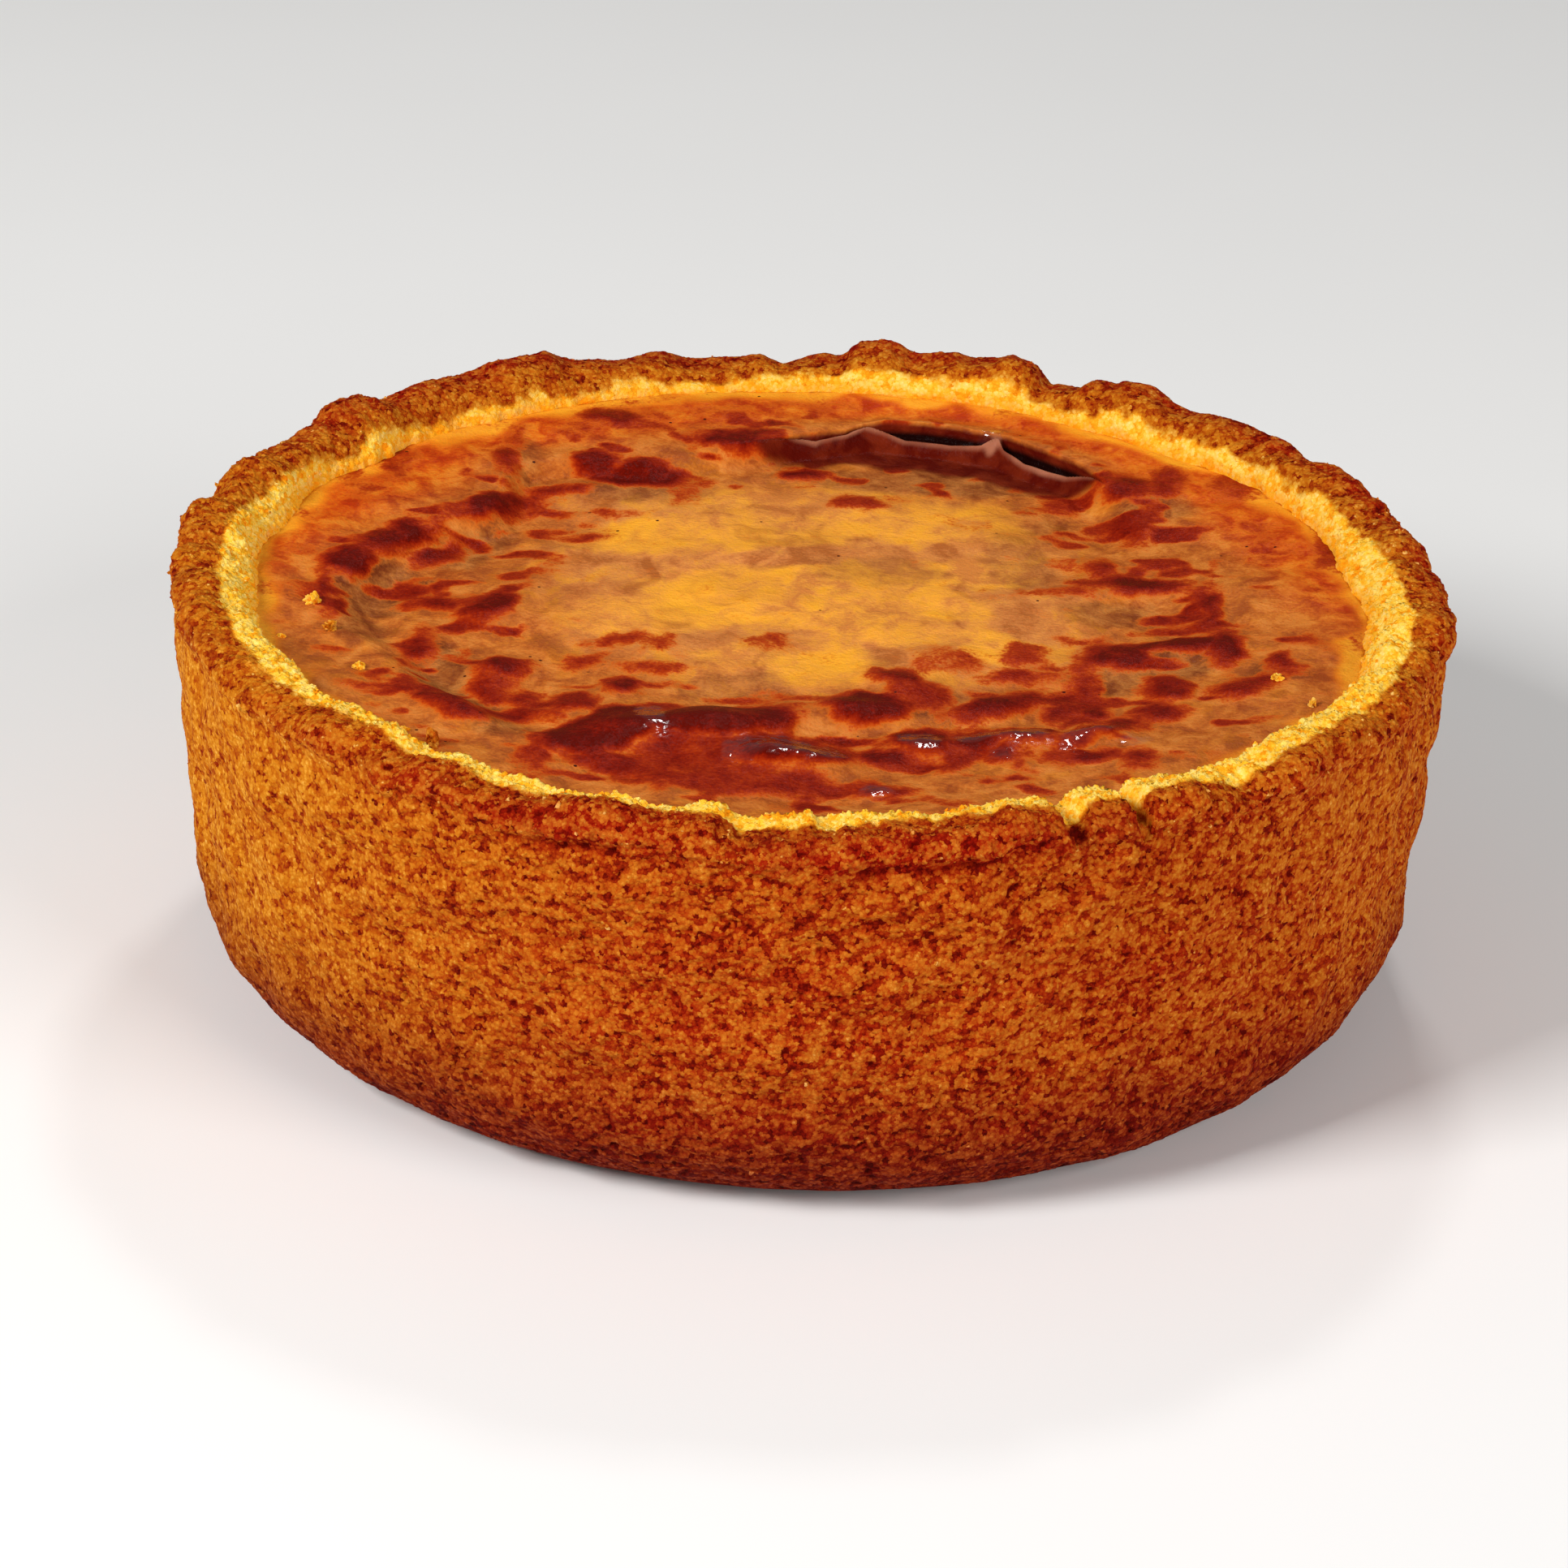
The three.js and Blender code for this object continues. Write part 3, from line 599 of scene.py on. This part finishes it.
def disc_grid():
    """A square grid bent onto a unit disc, so that its squares stay about even: x and y of its points."""
    side = np.linspace(-1, 1, SKIN_CELLS + 1)
    a, b = np.meshgrid(side, side)
    wide = np.abs(a) >= np.abs(b)
    radius = np.where(wide, a, b)
    safe = np.where(radius == 0, 1, radius)
    angle = np.where(wide, math.pi / 4 * b / safe, math.pi / 2 - math.pi / 4 * a / safe)
    return polar(radius, angle)


def skin_grid():
    """Points of the custard's skin on its disc grid, and the looks of each point."""
    x, y = disc_grid()
    angle = np.arctan2(y, x)
    fold = fold_at(angle)[0]
    edge = inner_radius(EDGE_LEVEL) + edge_wander(angle) + EDGE_SINK
    ring = np.hypot(x, y)
    inner = np.interp(FOLD_RING - ring, [0, FOLD_RINGS_NEAR, FOLD_RING], [0, 1, 2])
    radius = np.where(inner < 1, fold - FOLD_NEAR * inner, (fold - FOLD_NEAR) * (2 - inner))
    radius = np.where(ring > FOLD_RING, mix(fold, edge, (ring - FOLD_RING) / (1 - FOLD_RING)), radius)
    x, y = polar(radius, angle)
    ground = points_at(x, y)
    z, outside, inside, hollow = skin_height(x, y)
    free = 1 - outside**4
    patch = patches(SCORCHES, x, y)
    calm = 1 - 0.8 * hollow * smooth(-1, 0, inside)
    z = z + free * (skin_relief(x, y) * calm + SCORCH_RISE * patch)
    gap = FOLD_LIP_PLACE * hollow
    shown = smooth(0.1, 0.45, hollow)
    # The recess under the fold's crest, which the custard's material paints near-black as shadow
    recess = shown * smooth(0, 0.2, inside) * (1 - smooth(gap - 0.4, gap - 0.1, inside))
    # A pale pinkish painted sheen on the fold's lip and crest line, and a painted highlight along the ridge
    film = peak(inside, gap, 0.32) + 0.6 * peak(inside, -0.15, 0.2)
    ridge = peak(np.degrees(angle), RIDGE_AT, 0.9) * smooth(-0.2, 0.3, inside) * smooth(2.6, 1.2, inside)
    reach = around(FLOOR_REACHES, angle)
    floor = smooth(-0.1, 0.15, inside) * smooth(2, -1.6, inside - reach + 1.1 * rough(ground, 2.6, 98))
    floor = floor * smooth(0.3, 2, reach)
    points = points_at(x, y, z)
    looks = {
        "scorch": np.maximum(patch, 0.72 * small_scorches(x, y)),
        "hollow": np.maximum(recess, 0.62 * floor),
        "film": np.clip(shown * film * (0.8 + 0.35 * rough(ground, 2, 97, 2)) + ridge, 0, 1),
        "wet": patches(WET_SKIN, x, y),
        "dull": patches(DULL_SKIN, x, y),
        "glow": patches(GOLDEN_SKIN, x, y),
        "rim": outside * smooth(-25, 25, y),
        "ring": smooth(17, 27, np.hypot(x, y - GOLDEN_SHIFT) + 5 * rough(ground, 7, 96, 2)),
        "edge": smooth(2.8, 0.2, edge - radius + 1.4 * lumps(points, 3, 95)),
    }
    return points, looks


# Making meshes

def place_in_scene(name, data):
    """A new object of the scene."""
    thing = bpy.data.objects.new(name, data)
    bpy.context.scene.collection.objects.link(thing)
    return thing


def new_piece(name, points, faces, looks, material, normals=None):
    """A mesh from points in millimetres and faces, with the looks as attributes of its points."""
    mesh = bpy.data.meshes.new(name)
    mesh.from_pydata((points * MM).tolist(), [], faces)
    for look, values in looks.items():
        attribute = mesh.attributes.new(look, "FLOAT", "POINT")
        attribute.data.foreach_set("value", np.asarray(values, np.float32).ravel())
    mesh.materials.append(material)
    if normals is not None:
        mesh.shade_smooth()
        mesh.normals_split_custom_set_from_vertices(normals.tolist())
    mesh.update()
    piece = place_in_scene(name, mesh)
    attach(piece, "root")
    return piece


def strip_faces(rows, columns, closed):
    """Quads between rings of points, and if closed, between the last ring and the first."""
    at = np.arange(rows * columns).reshape(rows, columns)
    if closed:
        at = np.append(at, at[:1], axis=0)
    after = np.roll(at, -1, axis=1)
    quads = np.stack([at[:-1], after[:-1], after[1:], at[1:]], axis=-1)
    return quads.reshape(-1, 4).tolist()


def fan_faces(middle, ring, outward=True):
    """Triangles from a middle point to a closed ring of points."""
    after = np.roll(ring, -1)
    pairs = zip(ring.tolist(), after.tolist())
    return [(middle, b, a) if outward else (middle, a, b) for a, b in pairs]


def level_ring(radius, z):
    return points_at(*polar(radius, CASE_ANGLES), z)


def make_case(material):
    """The case as four closed pieces that meet on hidden faces: its foot, wall, collar and rim."""
    points, looks, groove_row = case_grid()
    normals = grid_normals(points)
    level = points[:, :, 2].mean(axis=1)
    foot_row = int(np.argmax(level > FOOT_LEVEL))
    collar_row = int(np.argmax(level > COLLAR_LEVEL))
    floor = level_ring(inner_radius(BASE_THICKNESS) - 4, BASE_THICKNESS)
    low = level_ring(inner_radius(FOOT_LEVEL), FOOT_LEVEL)
    middle = level_ring(inner_radius(COLLAR_LEVEL), COLLAR_LEVEL)
    high = points[-1]
    parts = {
        "crust_foot": (0, foot_row + 1, [low, floor], [(0, 0, 0), (0, 0, BASE_THICKNESS)]),
        "crust_wall": (foot_row, collar_row + 1, [middle, low], None),
        "crust_collar": (collar_row, groove_row, [high, middle], None),
        "crust_rim": (groove_row - 1, len(points), [], None),
    }
    for name, (first, end, hidden, middles) in parts.items():
        add_ring_piece(name, points[first:end], normals[first:end], hidden, middles,
                       {key: value[first:end] for key, value in looks.items()}, material)
    return points, looks


def add_ring_piece(name, shown, normals, hidden, middles, looks, material):
    """A closed piece from shown rings and hidden ones; middles close its first and last ring,
    and without them the last ring meets the first."""
    rings = np.concatenate([shown] + [ring[None] for ring in hidden])
    rows, columns = rings.shape[:2]
    points = rings.reshape(-1, 3)
    faces = strip_faces(rows, columns, not middles)
    way = [normals.reshape(-1, 3)]
    way += [ring * (-1, -1, 0) / np.hypot(ring[:, :1], ring[:, 1:2]) for ring in hidden]
    values = {key: np.append(value.ravel(), np.tile(value[-1], len(hidden))) for key, value in looks.items()}
    if middles:
        points = np.concatenate([points, middles])
        way.append([(0, 0, -1), (0, 0, 1)])
        values = {key: np.append(value, value[:2]) for key, value in values.items()}
        faces += fan_faces(rows * columns, np.arange(columns))
        faces += fan_faces(rows * columns + 1, np.arange(columns) + (rows - 1) * columns, outward=False)
    piece = new_piece(name, points, faces, values, material, np.concatenate(way))
    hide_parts("crust")


def make_custard(material):
    """The custard: its skin, and a plain hidden side and base below its edge."""
    skin, looks = skin_grid()
    at = np.arange(skin[..., 0].size).reshape(skin.shape[:2])
    quads = np.stack([at[:-1, :-1], at[:-1, 1:], at[1:, 1:], at[1:, :-1]], axis=-1)
    faces = quads.reshape(-1, 4).tolist()
    edge = np.concatenate([at[0, :-1], at[:-1, -1], at[-1, :0:-1], at[:0:-1, 0]])
    skin = skin.reshape(-1, 3)
    rings = [skin]
    start = len(skin)
    above = edge
    for inset, z in ((0.6, EDGE_LEVEL - 1.5), (2.6, BASE_THICKNESS + 4), (6, BASE_THICKNESS + 0.3)):
        ring = skin[edge].copy()
        ring[:, :2] *= 1 - inset / inner_radius(EDGE_LEVEL)
        ring[:, 2] = z
        rings.append(ring)
        below = start + np.arange(len(edge))
        after = np.roll(above, -1), np.roll(below, -1)
        faces += np.stack([above, below, after[1], after[0]], axis=-1).tolist()
        above = below
        start += len(edge)
    rings.append(np.array([[0, 0, BASE_THICKNESS + 0.3]]))
    faces += fan_faces(start, above)
    points = np.concatenate(rings)
    hidden = len(points) - len(skin)
    values = {key: np.append(value.ravel(), np.zeros(hidden)) for key, value in looks.items()}
    piece = new_piece("custard_filling", points, faces, values, material)
    piece.data.shade_smooth()
    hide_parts("custard")


def crumb_shape(detail):
    """Points and triangles of a round-cornered crumb one unit across."""
    golden = (1 + math.sqrt(5)) / 2
    signs = list(itertools.product((-1, 1), repeat=2))
    points = [(s, t * golden, 0) for s, t in signs]
    points += [(0, s, t * golden) for s, t in signs]
    points += [(s * golden, 0, t) for s, t in signs]
    points = np.array(points) / math.hypot(1, golden) / 2
    joined = np.linalg.norm(points[:, None] - points[None], axis=-1) < 0.6
    faces = []
    for a, b, c in itertools.combinations(range(12), 3):
        if joined[a, b] and joined[b, c] and joined[a, c]:
            outward = np.dot(np.cross(points[b] - points[a], points[c] - points[a]), points[a]) > 0
            faces.append((a, b, c) if outward else (a, c, b))
    for _ in range(detail):
        points, faces = split_faces(points, faces)
    return points, np.array(faces)


def split_faces(points, faces):
    """Each triangle as four, with the new points on the same ball."""
    points = points.tolist()
    halfway = {}

    def between(a, b):
        key = (min(a, b), max(a, b))
        if key not in halfway:
            place = np.add(points[a], points[b])
            halfway[key] = len(points)
            points.append((place / np.linalg.norm(place) / 2).tolist())
        return halfway[key]

    finer = []
    for a, b, c in faces:
        ab, bc, ca = between(a, b), between(b, c), between(c, a)
        finer += [(a, ab, ca), (ab, b, bc), (ca, bc, c), (ab, bc, ca)]
    return np.array(points), finer


def scatter_crumbs(places, normals, sizes, detail, seed):
    """Uneven crumbs joined in one mesh: their points, faces and how many points each has."""
    draw = np.random.default_rng(seed)
    shape, triangles = crumb_shape(detail)
    count = len(places)
    stretch = draw.uniform(0.65, 1.25, (count, 1, 3))
    turn = np.linalg.qr(draw.normal(size=(count, 3, 3)))[0]
    body = np.einsum("nij,npj->npi", turn, shape[None] * stretch)
    ground = body * 4 + draw.uniform(0, 90, (count, 1, 3))
    body = body * (0.7 + 0.5 * lumps(ground, 1.3, seed) + 0.3 * lumps(ground, 0.6, seed + 1))[..., None]
    points = places[:, None] + body * sizes[:, None, None] - normals[:, None] * (sizes * 0.1)[:, None, None]
    faces = triangles[None] + (np.arange(count) * len(shape))[:, None, None]
    return points.reshape(-1, 3), faces.reshape(-1, 3).tolist(), len(shape)


def make_case_crumbs(material, points, looks):
    """Crumbs that stand out of the case's surface, thickest on the rim."""
    draw = np.random.default_rng(5)
    normals = grid_normals(points)
    height = points[..., 2]
    radius = np.hypot(points[..., 0], points[..., 1])
    showing = (height > 2) & (radius > inner_radius(EDGE_LEVEL) + 0.2)
    rim = smooth(HEIGHT - 3.5, HEIGHT - 1.5, height)
    area = np.where(height < LIP_LEVEL - 0.2, WALL_STEP, RIM_STEP)
    front = smooth(35, 100, np.abs(np.degrees(np.arctan2(points[..., 1], points[..., 0])) - 90))
    chance = showing * area * (0.05 + 1.6 * rim * (1 - 0.5 * looks["raw"])) * smooth(0.3, 0.5, looks["level"])
    chance = chance * (0.15 + 0.85 * front)
    seam = peak(radius, inner_radius(EDGE_LEVEL), 0.5) * (height > EDGE_LEVEL)
    chance = chance + showing * area * 4 * seam * (0.3 + 0.7 * front)
    chance = (chance / chance.sum()).ravel()
    chosen = draw.choice(chance.size, size=CASE_CRUMBS, replace=False, p=chance)
    sizes = 0.25 + 0.45 * draw.uniform(0, 1, CASE_CRUMBS) ** 3
    places = points.reshape(-1, 3)[chosen]
    body, faces, each = scatter_crumbs(places, normals.reshape(-1, 3)[chosen], sizes, 0, 8)
    values = {key: np.repeat(value.ravel()[chosen], each) for key, value in looks.items()}
    values["level"] = np.repeat(draw.uniform(0.4, 0.85, CASE_CRUMBS), each)
    new_piece("crust_crumbs", body, faces, values, material)


def make_loose_crumbs(material):
    """The few crumbs that have fallen on the custard."""
    x, y, size, pale = np.array(LOOSE_CRUMBS).T
    z = skin_height(x, y)[0] + skin_relief(x, y) + size * 0.2
    body, faces, each = scatter_crumbs(points_at(x, y, z), np.tile([0.0, 0, 1], (len(x), 1)), size, 3, 14)
    values = {look: np.zeros(len(body)) for look in ("loose", "burnt", "low")}
    values["level"] = 0.55 + 0.25 * rough(body, 0.5, 15, 2)
    values["raw"] = np.repeat(pale, each)
    values["baked"] = np.full(len(body), 0.5)
    new_piece("custard_crumbs", body, faces, values, material)


# Materials

def tint(*colour):
    """A colour given in sRGB from 0 to 255, as the shader wants it."""
    linear = [((c / 255 + 0.055) / 1.055) ** 2.4 if c > 10 else c / 255 / 12.92 for c in colour]
    return (*linear, 1)


class Shader:
    """A material's node tree, with short names for the nodes used here."""

    def __init__(self, name):
        self.material = bpy.data.materials.new(name)
        self.material.use_nodes = True
        self.tree = self.material.node_tree
        self.surface = self.tree.nodes["Principled BSDF"].inputs
        self.place = self.add("ShaderNodeTexCoord", {}).outputs["Object"]

    def add(self, kind, inputs, **settings):
        """A node with these settings and inputs: numbers, colours or other nodes' outputs."""
        node = self.tree.nodes.new(kind)
        for key, value in settings.items():
            setattr(node, key, value)
        for key, value in inputs.items():
            self.put(value, node.inputs[key])
        return node

    def put(self, value, socket):
        """Sets a socket to a number or colour, or links another node's output to it."""
        if isinstance(value, bpy.types.NodeSocket):
            self.tree.links.new(value, socket)
        else:
            socket.default_value = value

    def looks(self, names):
        nodes = [self.add("ShaderNodeAttribute", {}, attribute_name=name) for name in names.split()]
        return [node.outputs["Fac"] for node in nodes]

    def noise(self, size, detail=3, roughness=0.6, stretch=(1, 1, 1), warp=0, at=None):
        """Cloudy noise from 0 to 1 with lumps of about size millimetres, read at the point or elsewhere."""
        place = self.add("ShaderNodeMapping", {"Vector": at or self.place, "Scale": stretch})
        node = self.add("ShaderNodeTexNoise", {
            "Vector": place.outputs["Vector"], "Scale": 1 / (size * MM), "Detail": detail,
            "Roughness": roughness, "Distortion": warp,
        })
        return node.outputs["Fac"]

    def cells(self, size, ragged=0):
        """Packed, ragged cells of about size millimetres: how far a point is from its cell's middle, the
        cell's tone, and where its middle is."""
        bend = self.add("ShaderNodeTexNoise", {"Vector": self.place, "Scale": 2 / (size * MM)})
        terms = {0: bend.outputs["Color"], 1: (ragged * size * MM,) * 3, 2: self.place}
        bent = self.add("ShaderNodeVectorMath", terms, operation="MULTIPLY_ADD").outputs["Vector"]
        node = self.add("ShaderNodeTexVoronoi", {"Vector": bent, "Scale": 1 / (size * MM)})
        return node.outputs["Distance"], node.outputs["Color"], node.outputs["Position"]

    def ease(self, value, low, high, bottom=0, top=1):
        """An S-curve from bottom to top as value goes from low to high."""
        terms = dict(enumerate((value, low, high, bottom, top)))
        return self.add("ShaderNodeMapRange", terms, interpolation_type="SMOOTHSTEP").outputs["Result"]

    def sum(self, *values):
        return self.chain("ADD", values)

    def product(self, *values):
        return self.chain("MULTIPLY", values)

    def chain(self, operation, values):
        total = values[0]
        for value in values[1:]:
            total = self.add("ShaderNodeMath", {0: total, 1: value}, operation=operation).outputs[0]
        return total

    def swing(self, value, gain, middle=0.5):
        """How far a value is above its middle, times gain."""
        return self.product(self.sum(value, -middle), gain)

    def ramp(self, value, stops):
        """A colour that goes through stops of (value, red, green, blue)."""
        node = self.add("ShaderNodeValToRGB", {"Fac": value})
        marks = node.color_ramp.elements
        for _ in stops[2:]:
            marks.new(0.5)
        for mark, (place, *colour) in zip(marks, stops):
            mark.position = place
            mark.color = tint(*colour)
        return node.outputs["Color"]

    def blend(self, share, first, second):
        """The first colour going to the second by share."""
        return self.add("ShaderNodeMix", {"Factor": share, 6: first, 7: second}, data_type="RGBA").outputs[2]

    def bump(self, height, depth, normal=None):
        """A bump whose height from 0 to 1 stands depth millimetres proud."""
        inputs = {"Height": height, "Distance": depth * MM}
        if normal is not None:
            inputs["Normal"] = normal
        return self.add("ShaderNodeBump", inputs).outputs["Normal"]


def crust_material():
    """Baked shortcrust: golden to brown grains, dark red-brown gaps, pale yellow where it is raw; the colour
    follows the crumb's height, with painted shade in the gaps and painted light on the raised grains.
    """
    s = Shader("baked_shortcrust")
    baked, burnt, level, raw, loose, low = s.looks("baked burnt level raw loose low")
    grain_edge, grain, middle = s.cells(0.3, 1)
    flake = s.noise(1.1, 4, 0.6, (1, 1, 1.7), at=middle)
    plate = s.ease(flake, 0.44, 0.48)
    chip = s.ease(s.noise(0.7, 2, 0.6, (1, 1, 1.4), at=middle), 0.42, 0.47)
    # Small near-black marks with no relief of their own: painted shadow in pits
    pit_shadow = s.product(s.ease(s.noise(1.1, 4, 0.62, (1, 1, 2.4), at=middle), 0.33, 0.35, 1, 0),
                     s.ease(loose, 0.1, 0.8, 0.1, 1))
    # Lighter on raised flakes, chips and grain middles, darker at grain edges and in the pits: partly the
    # crumb's own tones, partly painted light and painted shade; the palest stops of the ramps stand partly
    # for painted highlights
    height = s.sum(level, s.swing(flake, 0.25), s.swing(plate, 0.28, 0.7),
                   s.swing(chip, 0.22, 0.75), s.swing(grain, 0.22),
                   s.swing(grain_edge, -0.34, 0.45), s.product(pit_shadow, -0.5))
    golden = s.ramp(height, [
        (0, 104, 16, 3), (0.12, 138, 36, 5), (0.25, 160, 60, 7), (0.4, 180, 90, 10),
        (0.55, 194, 110, 15), (0.7, 206, 128, 25), (0.85, 222, 152, 46), (1, 246, 200, 104),
    ])
    brown = s.ramp(height, [
        (0, 88, 4, 0), (0.12, 114, 9, 1), (0.25, 137, 16, 2), (0.37, 154, 34, 5),
        (0.5, 168, 62, 11), (0.63, 179, 84, 18), (0.78, 194, 108, 29), (1, 232, 172, 92),
    ])
    crumb = s.blend(baked, golden, brown)
    # Dark red-brown where burnt: the rim's scorched patches, and near the foot partly painted shade
    dark = s.ramp(height, [
        (0, 52, 5, 2), (0.3, 84, 10, 4), (0.5, 108, 20, 6), (0.75, 142, 46, 14), (1, 190, 100, 46),
    ])
    crumb = s.blend(burnt, crumb, dark)
    # The raw edge by height: cream on raised grains and deeper orange between them, partly painted light and
    # painted shade
    pale = s.ramp(s.sum(0.25, s.product(height, 0.5)), [
        (0.2, 238, 120, 8), (0.34, 251, 151, 16), (0.45, 255, 179, 34), (0.54, 255, 198, 60),
        (0.66, 255, 217, 108), (0.85, 255, 240, 176),
    ])
    pale = s.blend(s.product(low, 0.6), pale, tint(240, 146, 18))
    s.put(s.blend(raw, crumb, pale), s.surface["Base Color"])
    s.put(s.ease(height, 0.3, 1, 0.85, 0.6), s.surface["Roughness"])
    s.surface["Specular IOR Level"].default_value = 0.03
    body = s.noise(1.5, 4, 0.6, (1, 1, 1.5))
    s.put(s.bump(s.sum(body, s.product(grain_edge, -0.3)), 0.3), s.surface["Normal"])
    return s.material


def custard_material():
    """Baked custard skin: beige and golden swirls, browner around them, red-brown where scorched, with
    painted shadow in the fold's recess and a painted sheen on its lip and ridge.
    """
    s = Shader("baked_custard")
    scorch, hollow, film, wet = s.looks("scorch hollow film wet")
    dull, glow, rim, edge, ring = s.looks("dull glow rim edge ring")
    cloud = s.noise(7, 2, 0.5, (1, 0.8, 1), 0.5)
    swirl = s.noise(3.8, 3, 0.5, (1, 0.8, 1), 0.8)
    veil = s.noise(2.2, 3, 0.55, (1, 0.8, 1), 0.5)
    pebble = s.noise(0.3, 2, 0.55)
    fine = s.swing(pebble, 0.25)
    tone = s.sum(veil, fine)
    blotch = s.swing(veil, 0.8)
    base = s.ramp(s.sum(swirl, fine), [
        (0.34, 178, 98, 42), (0.44, 202, 120, 58), (0.54, 218, 136, 64), (0.66, 232, 152, 50),
    ])
    golden = s.ramp(s.sum(cloud, blotch, fine), [
        (0.3, 210, 126, 56), (0.41, 231, 149, 58), (0.5, 243, 161, 53), (0.66, 251, 170, 44),
    ])
    base = s.blend(s.ease(s.sum(glow, s.swing(swirl, 1.4)), 0.05, 0.85), base, golden)
    brown = s.ramp(tone, [
        (0.34, 146, 58, 16), (0.46, 178, 86, 24), (0.56, 200, 108, 36), (0.66, 214, 130, 56),
    ])
    base = s.blend(s.product(ring, 0.8), base, brown)
    outer = s.ramp(tone, [
        (0.34, 176, 44, 5), (0.46, 200, 72, 8), (0.56, 216, 98, 14), (0.66, 226, 124, 26),
    ])
    base = s.blend(s.ease(rim, 0.05, 0.6, 0, 0.9), base, outer)
    lit = s.ramp(s.sum(edge, blotch), [
        (0.2, 224, 114, 24), (0.6, 236, 136, 26), (1, 250, 170, 40),
    ])
    base = s.blend(s.ease(edge, 0, 0.7, 0, 0.85), base, lit)
    grey = s.ramp(tone, [(0.34, 116, 52, 22), (0.48, 148, 80, 34), (0.64, 178, 110, 52)])
    base = s.blend(s.ease(dull, 0.1, 0.9, 0, 0.9), base, grey)
    torn = s.sum(scorch, blotch, s.swing(pebble, 0.5))
    burnt = s.ramp(torn, [
        (0.15, 214, 106, 26), (0.34, 190, 74, 14), (0.52, 162, 46, 9), (0.72, 136, 27, 6),
        (0.9, 110, 15, 4), (1, 92, 11, 3),
    ])
    colour = s.blend(s.ease(torn, 0.05, 0.42), base, burnt)
    # Dark red-brown over the fold's floor and its recess; deep in the recess under the crest, near-black
    # painted shadow
    floor = s.ramp(veil, [(0.4, 84, 12, 4), (0.65, 112, 32, 12)])
    colour = s.blend(s.ease(hollow, 0.1, 0.6), colour, floor)
    colour = s.blend(s.ease(hollow, 0.68, 0.95), colour, tint(22, 3, 2))
    # Pale pinkish painted sheen on the fold's lip, crest line and ridge
    colour = s.blend(s.product(s.ease(film, 0.3, 1), 0.85), colour, tint(176, 110, 82))
    pore = s.product(s.ease(s.cells(3)[0], 0.035, 0.06, 1, 0), s.ease(cloud, 0.45, 0.5))
    colour = s.blend(pore, colour, tint(60, 12, 6))
    s.put(colour, s.surface["Base Color"])
    s.put(s.ease(wet, 0.2, 0.7, 0.35, 0.09), s.surface["Roughness"])
    s.put(s.ease(wet, 0.4, 0.8, 0.02, 0.6), s.surface["Specular IOR Level"])
    s.surface["Subsurface Weight"].default_value = 0.06
    s.surface["Subsurface Radius"].default_value = (1, 0.4, 0.12)
    s.surface["Subsurface Scale"].default_value = MM
    wrinkle = s.bump(s.noise(2.2, 2, 0.5, warp=0.6), 0.2)
    ripple = s.bump(s.product(wet, s.noise(1, 1, 0.5)), 0.22, wrinkle)
    s.put(s.bump(s.product(pebble, s.ease(wet, 0.1, 0.6, 1, 0.2)), 0.08, ripple), s.surface["Normal"])
    return s.material


def floor_material():
    s = Shader("pale_floor")
    tone = s.noise(60, 3, 0.5)
    s.put(s.blend(tone, tint(243, 242, 240), tint(247, 246, 244)), s.surface["Base Color"])
    s.surface["Roughness"].default_value = 0.8
    return s.material


# Stage, light and camera

def make_floor():
    mesh = bpy.data.meshes.new("floor")
    reach = STAGE_REACH * MM
    corners = [(-reach, -reach, 0), (reach, -reach, 0), (reach, reach, 0), (-reach, reach, 0)]
    mesh.from_pydata(corners, [], [(0, 1, 2, 3)])
    mesh.materials.append(floor_material())
    floor = place_in_scene("floor", mesh)


def add_light(name, place, aim, size, power):
    """A square soft light at a place in millimetres, facing another."""
    data = bpy.data.lights.new(name, "AREA")
    data.shape = "SQUARE"
    data.size = size * MM
    data.energy = power
    light = place_in_scene(name, data)
    light.location = Vector(place) * MM
    light.rotation_euler = (Vector(aim) - Vector(place)).to_track_quat("-Z", "Y").to_euler()


def light_studio():
    world = bpy.data.worlds.new("studio")
    world.use_nodes = True
    background = world.node_tree.nodes["Background"]
    background.inputs["Color"].default_value = (1, 1, 1, 1)
    background.inputs["Strength"].default_value = SKY_STRENGTH
    bpy.context.scene.world = world
    for light in LIGHTS:
        add_light(*light)


def aim_camera():
    """The photograph's view: 25 degrees above the flan and turned a little about its own axis."""
    pitch = Matrix.Rotation(math.radians(90 - VIEW_ELEVATION), 4, "X")
    turn = pitch @ Matrix.Rotation(math.radians(VIEW_ROLL), 4, "Z")
    place = Vector(VIEW_TARGET) + turn @ Vector((0, 0, VIEW_DISTANCE))
    data = bpy.data.cameras.new("camera")
    data.lens = VIEW_LENS
    data.clip_start = 0.01
    data.clip_end = 20
    camera = place_in_scene("camera", data)
    camera.matrix_world = Matrix.Translation(place * MM) @ turn
    bpy.context.scene.camera = camera


bpy.context.scene.view_settings.view_transform = "Standard"
crust = crust_material()
case_points, case_looks = make_case(crust)
make_case_crumbs(crust, case_points, case_looks)
make_custard(custard_material())
make_loose_crumbs(crust)
make_floor()
light_studio()
aim_camera()
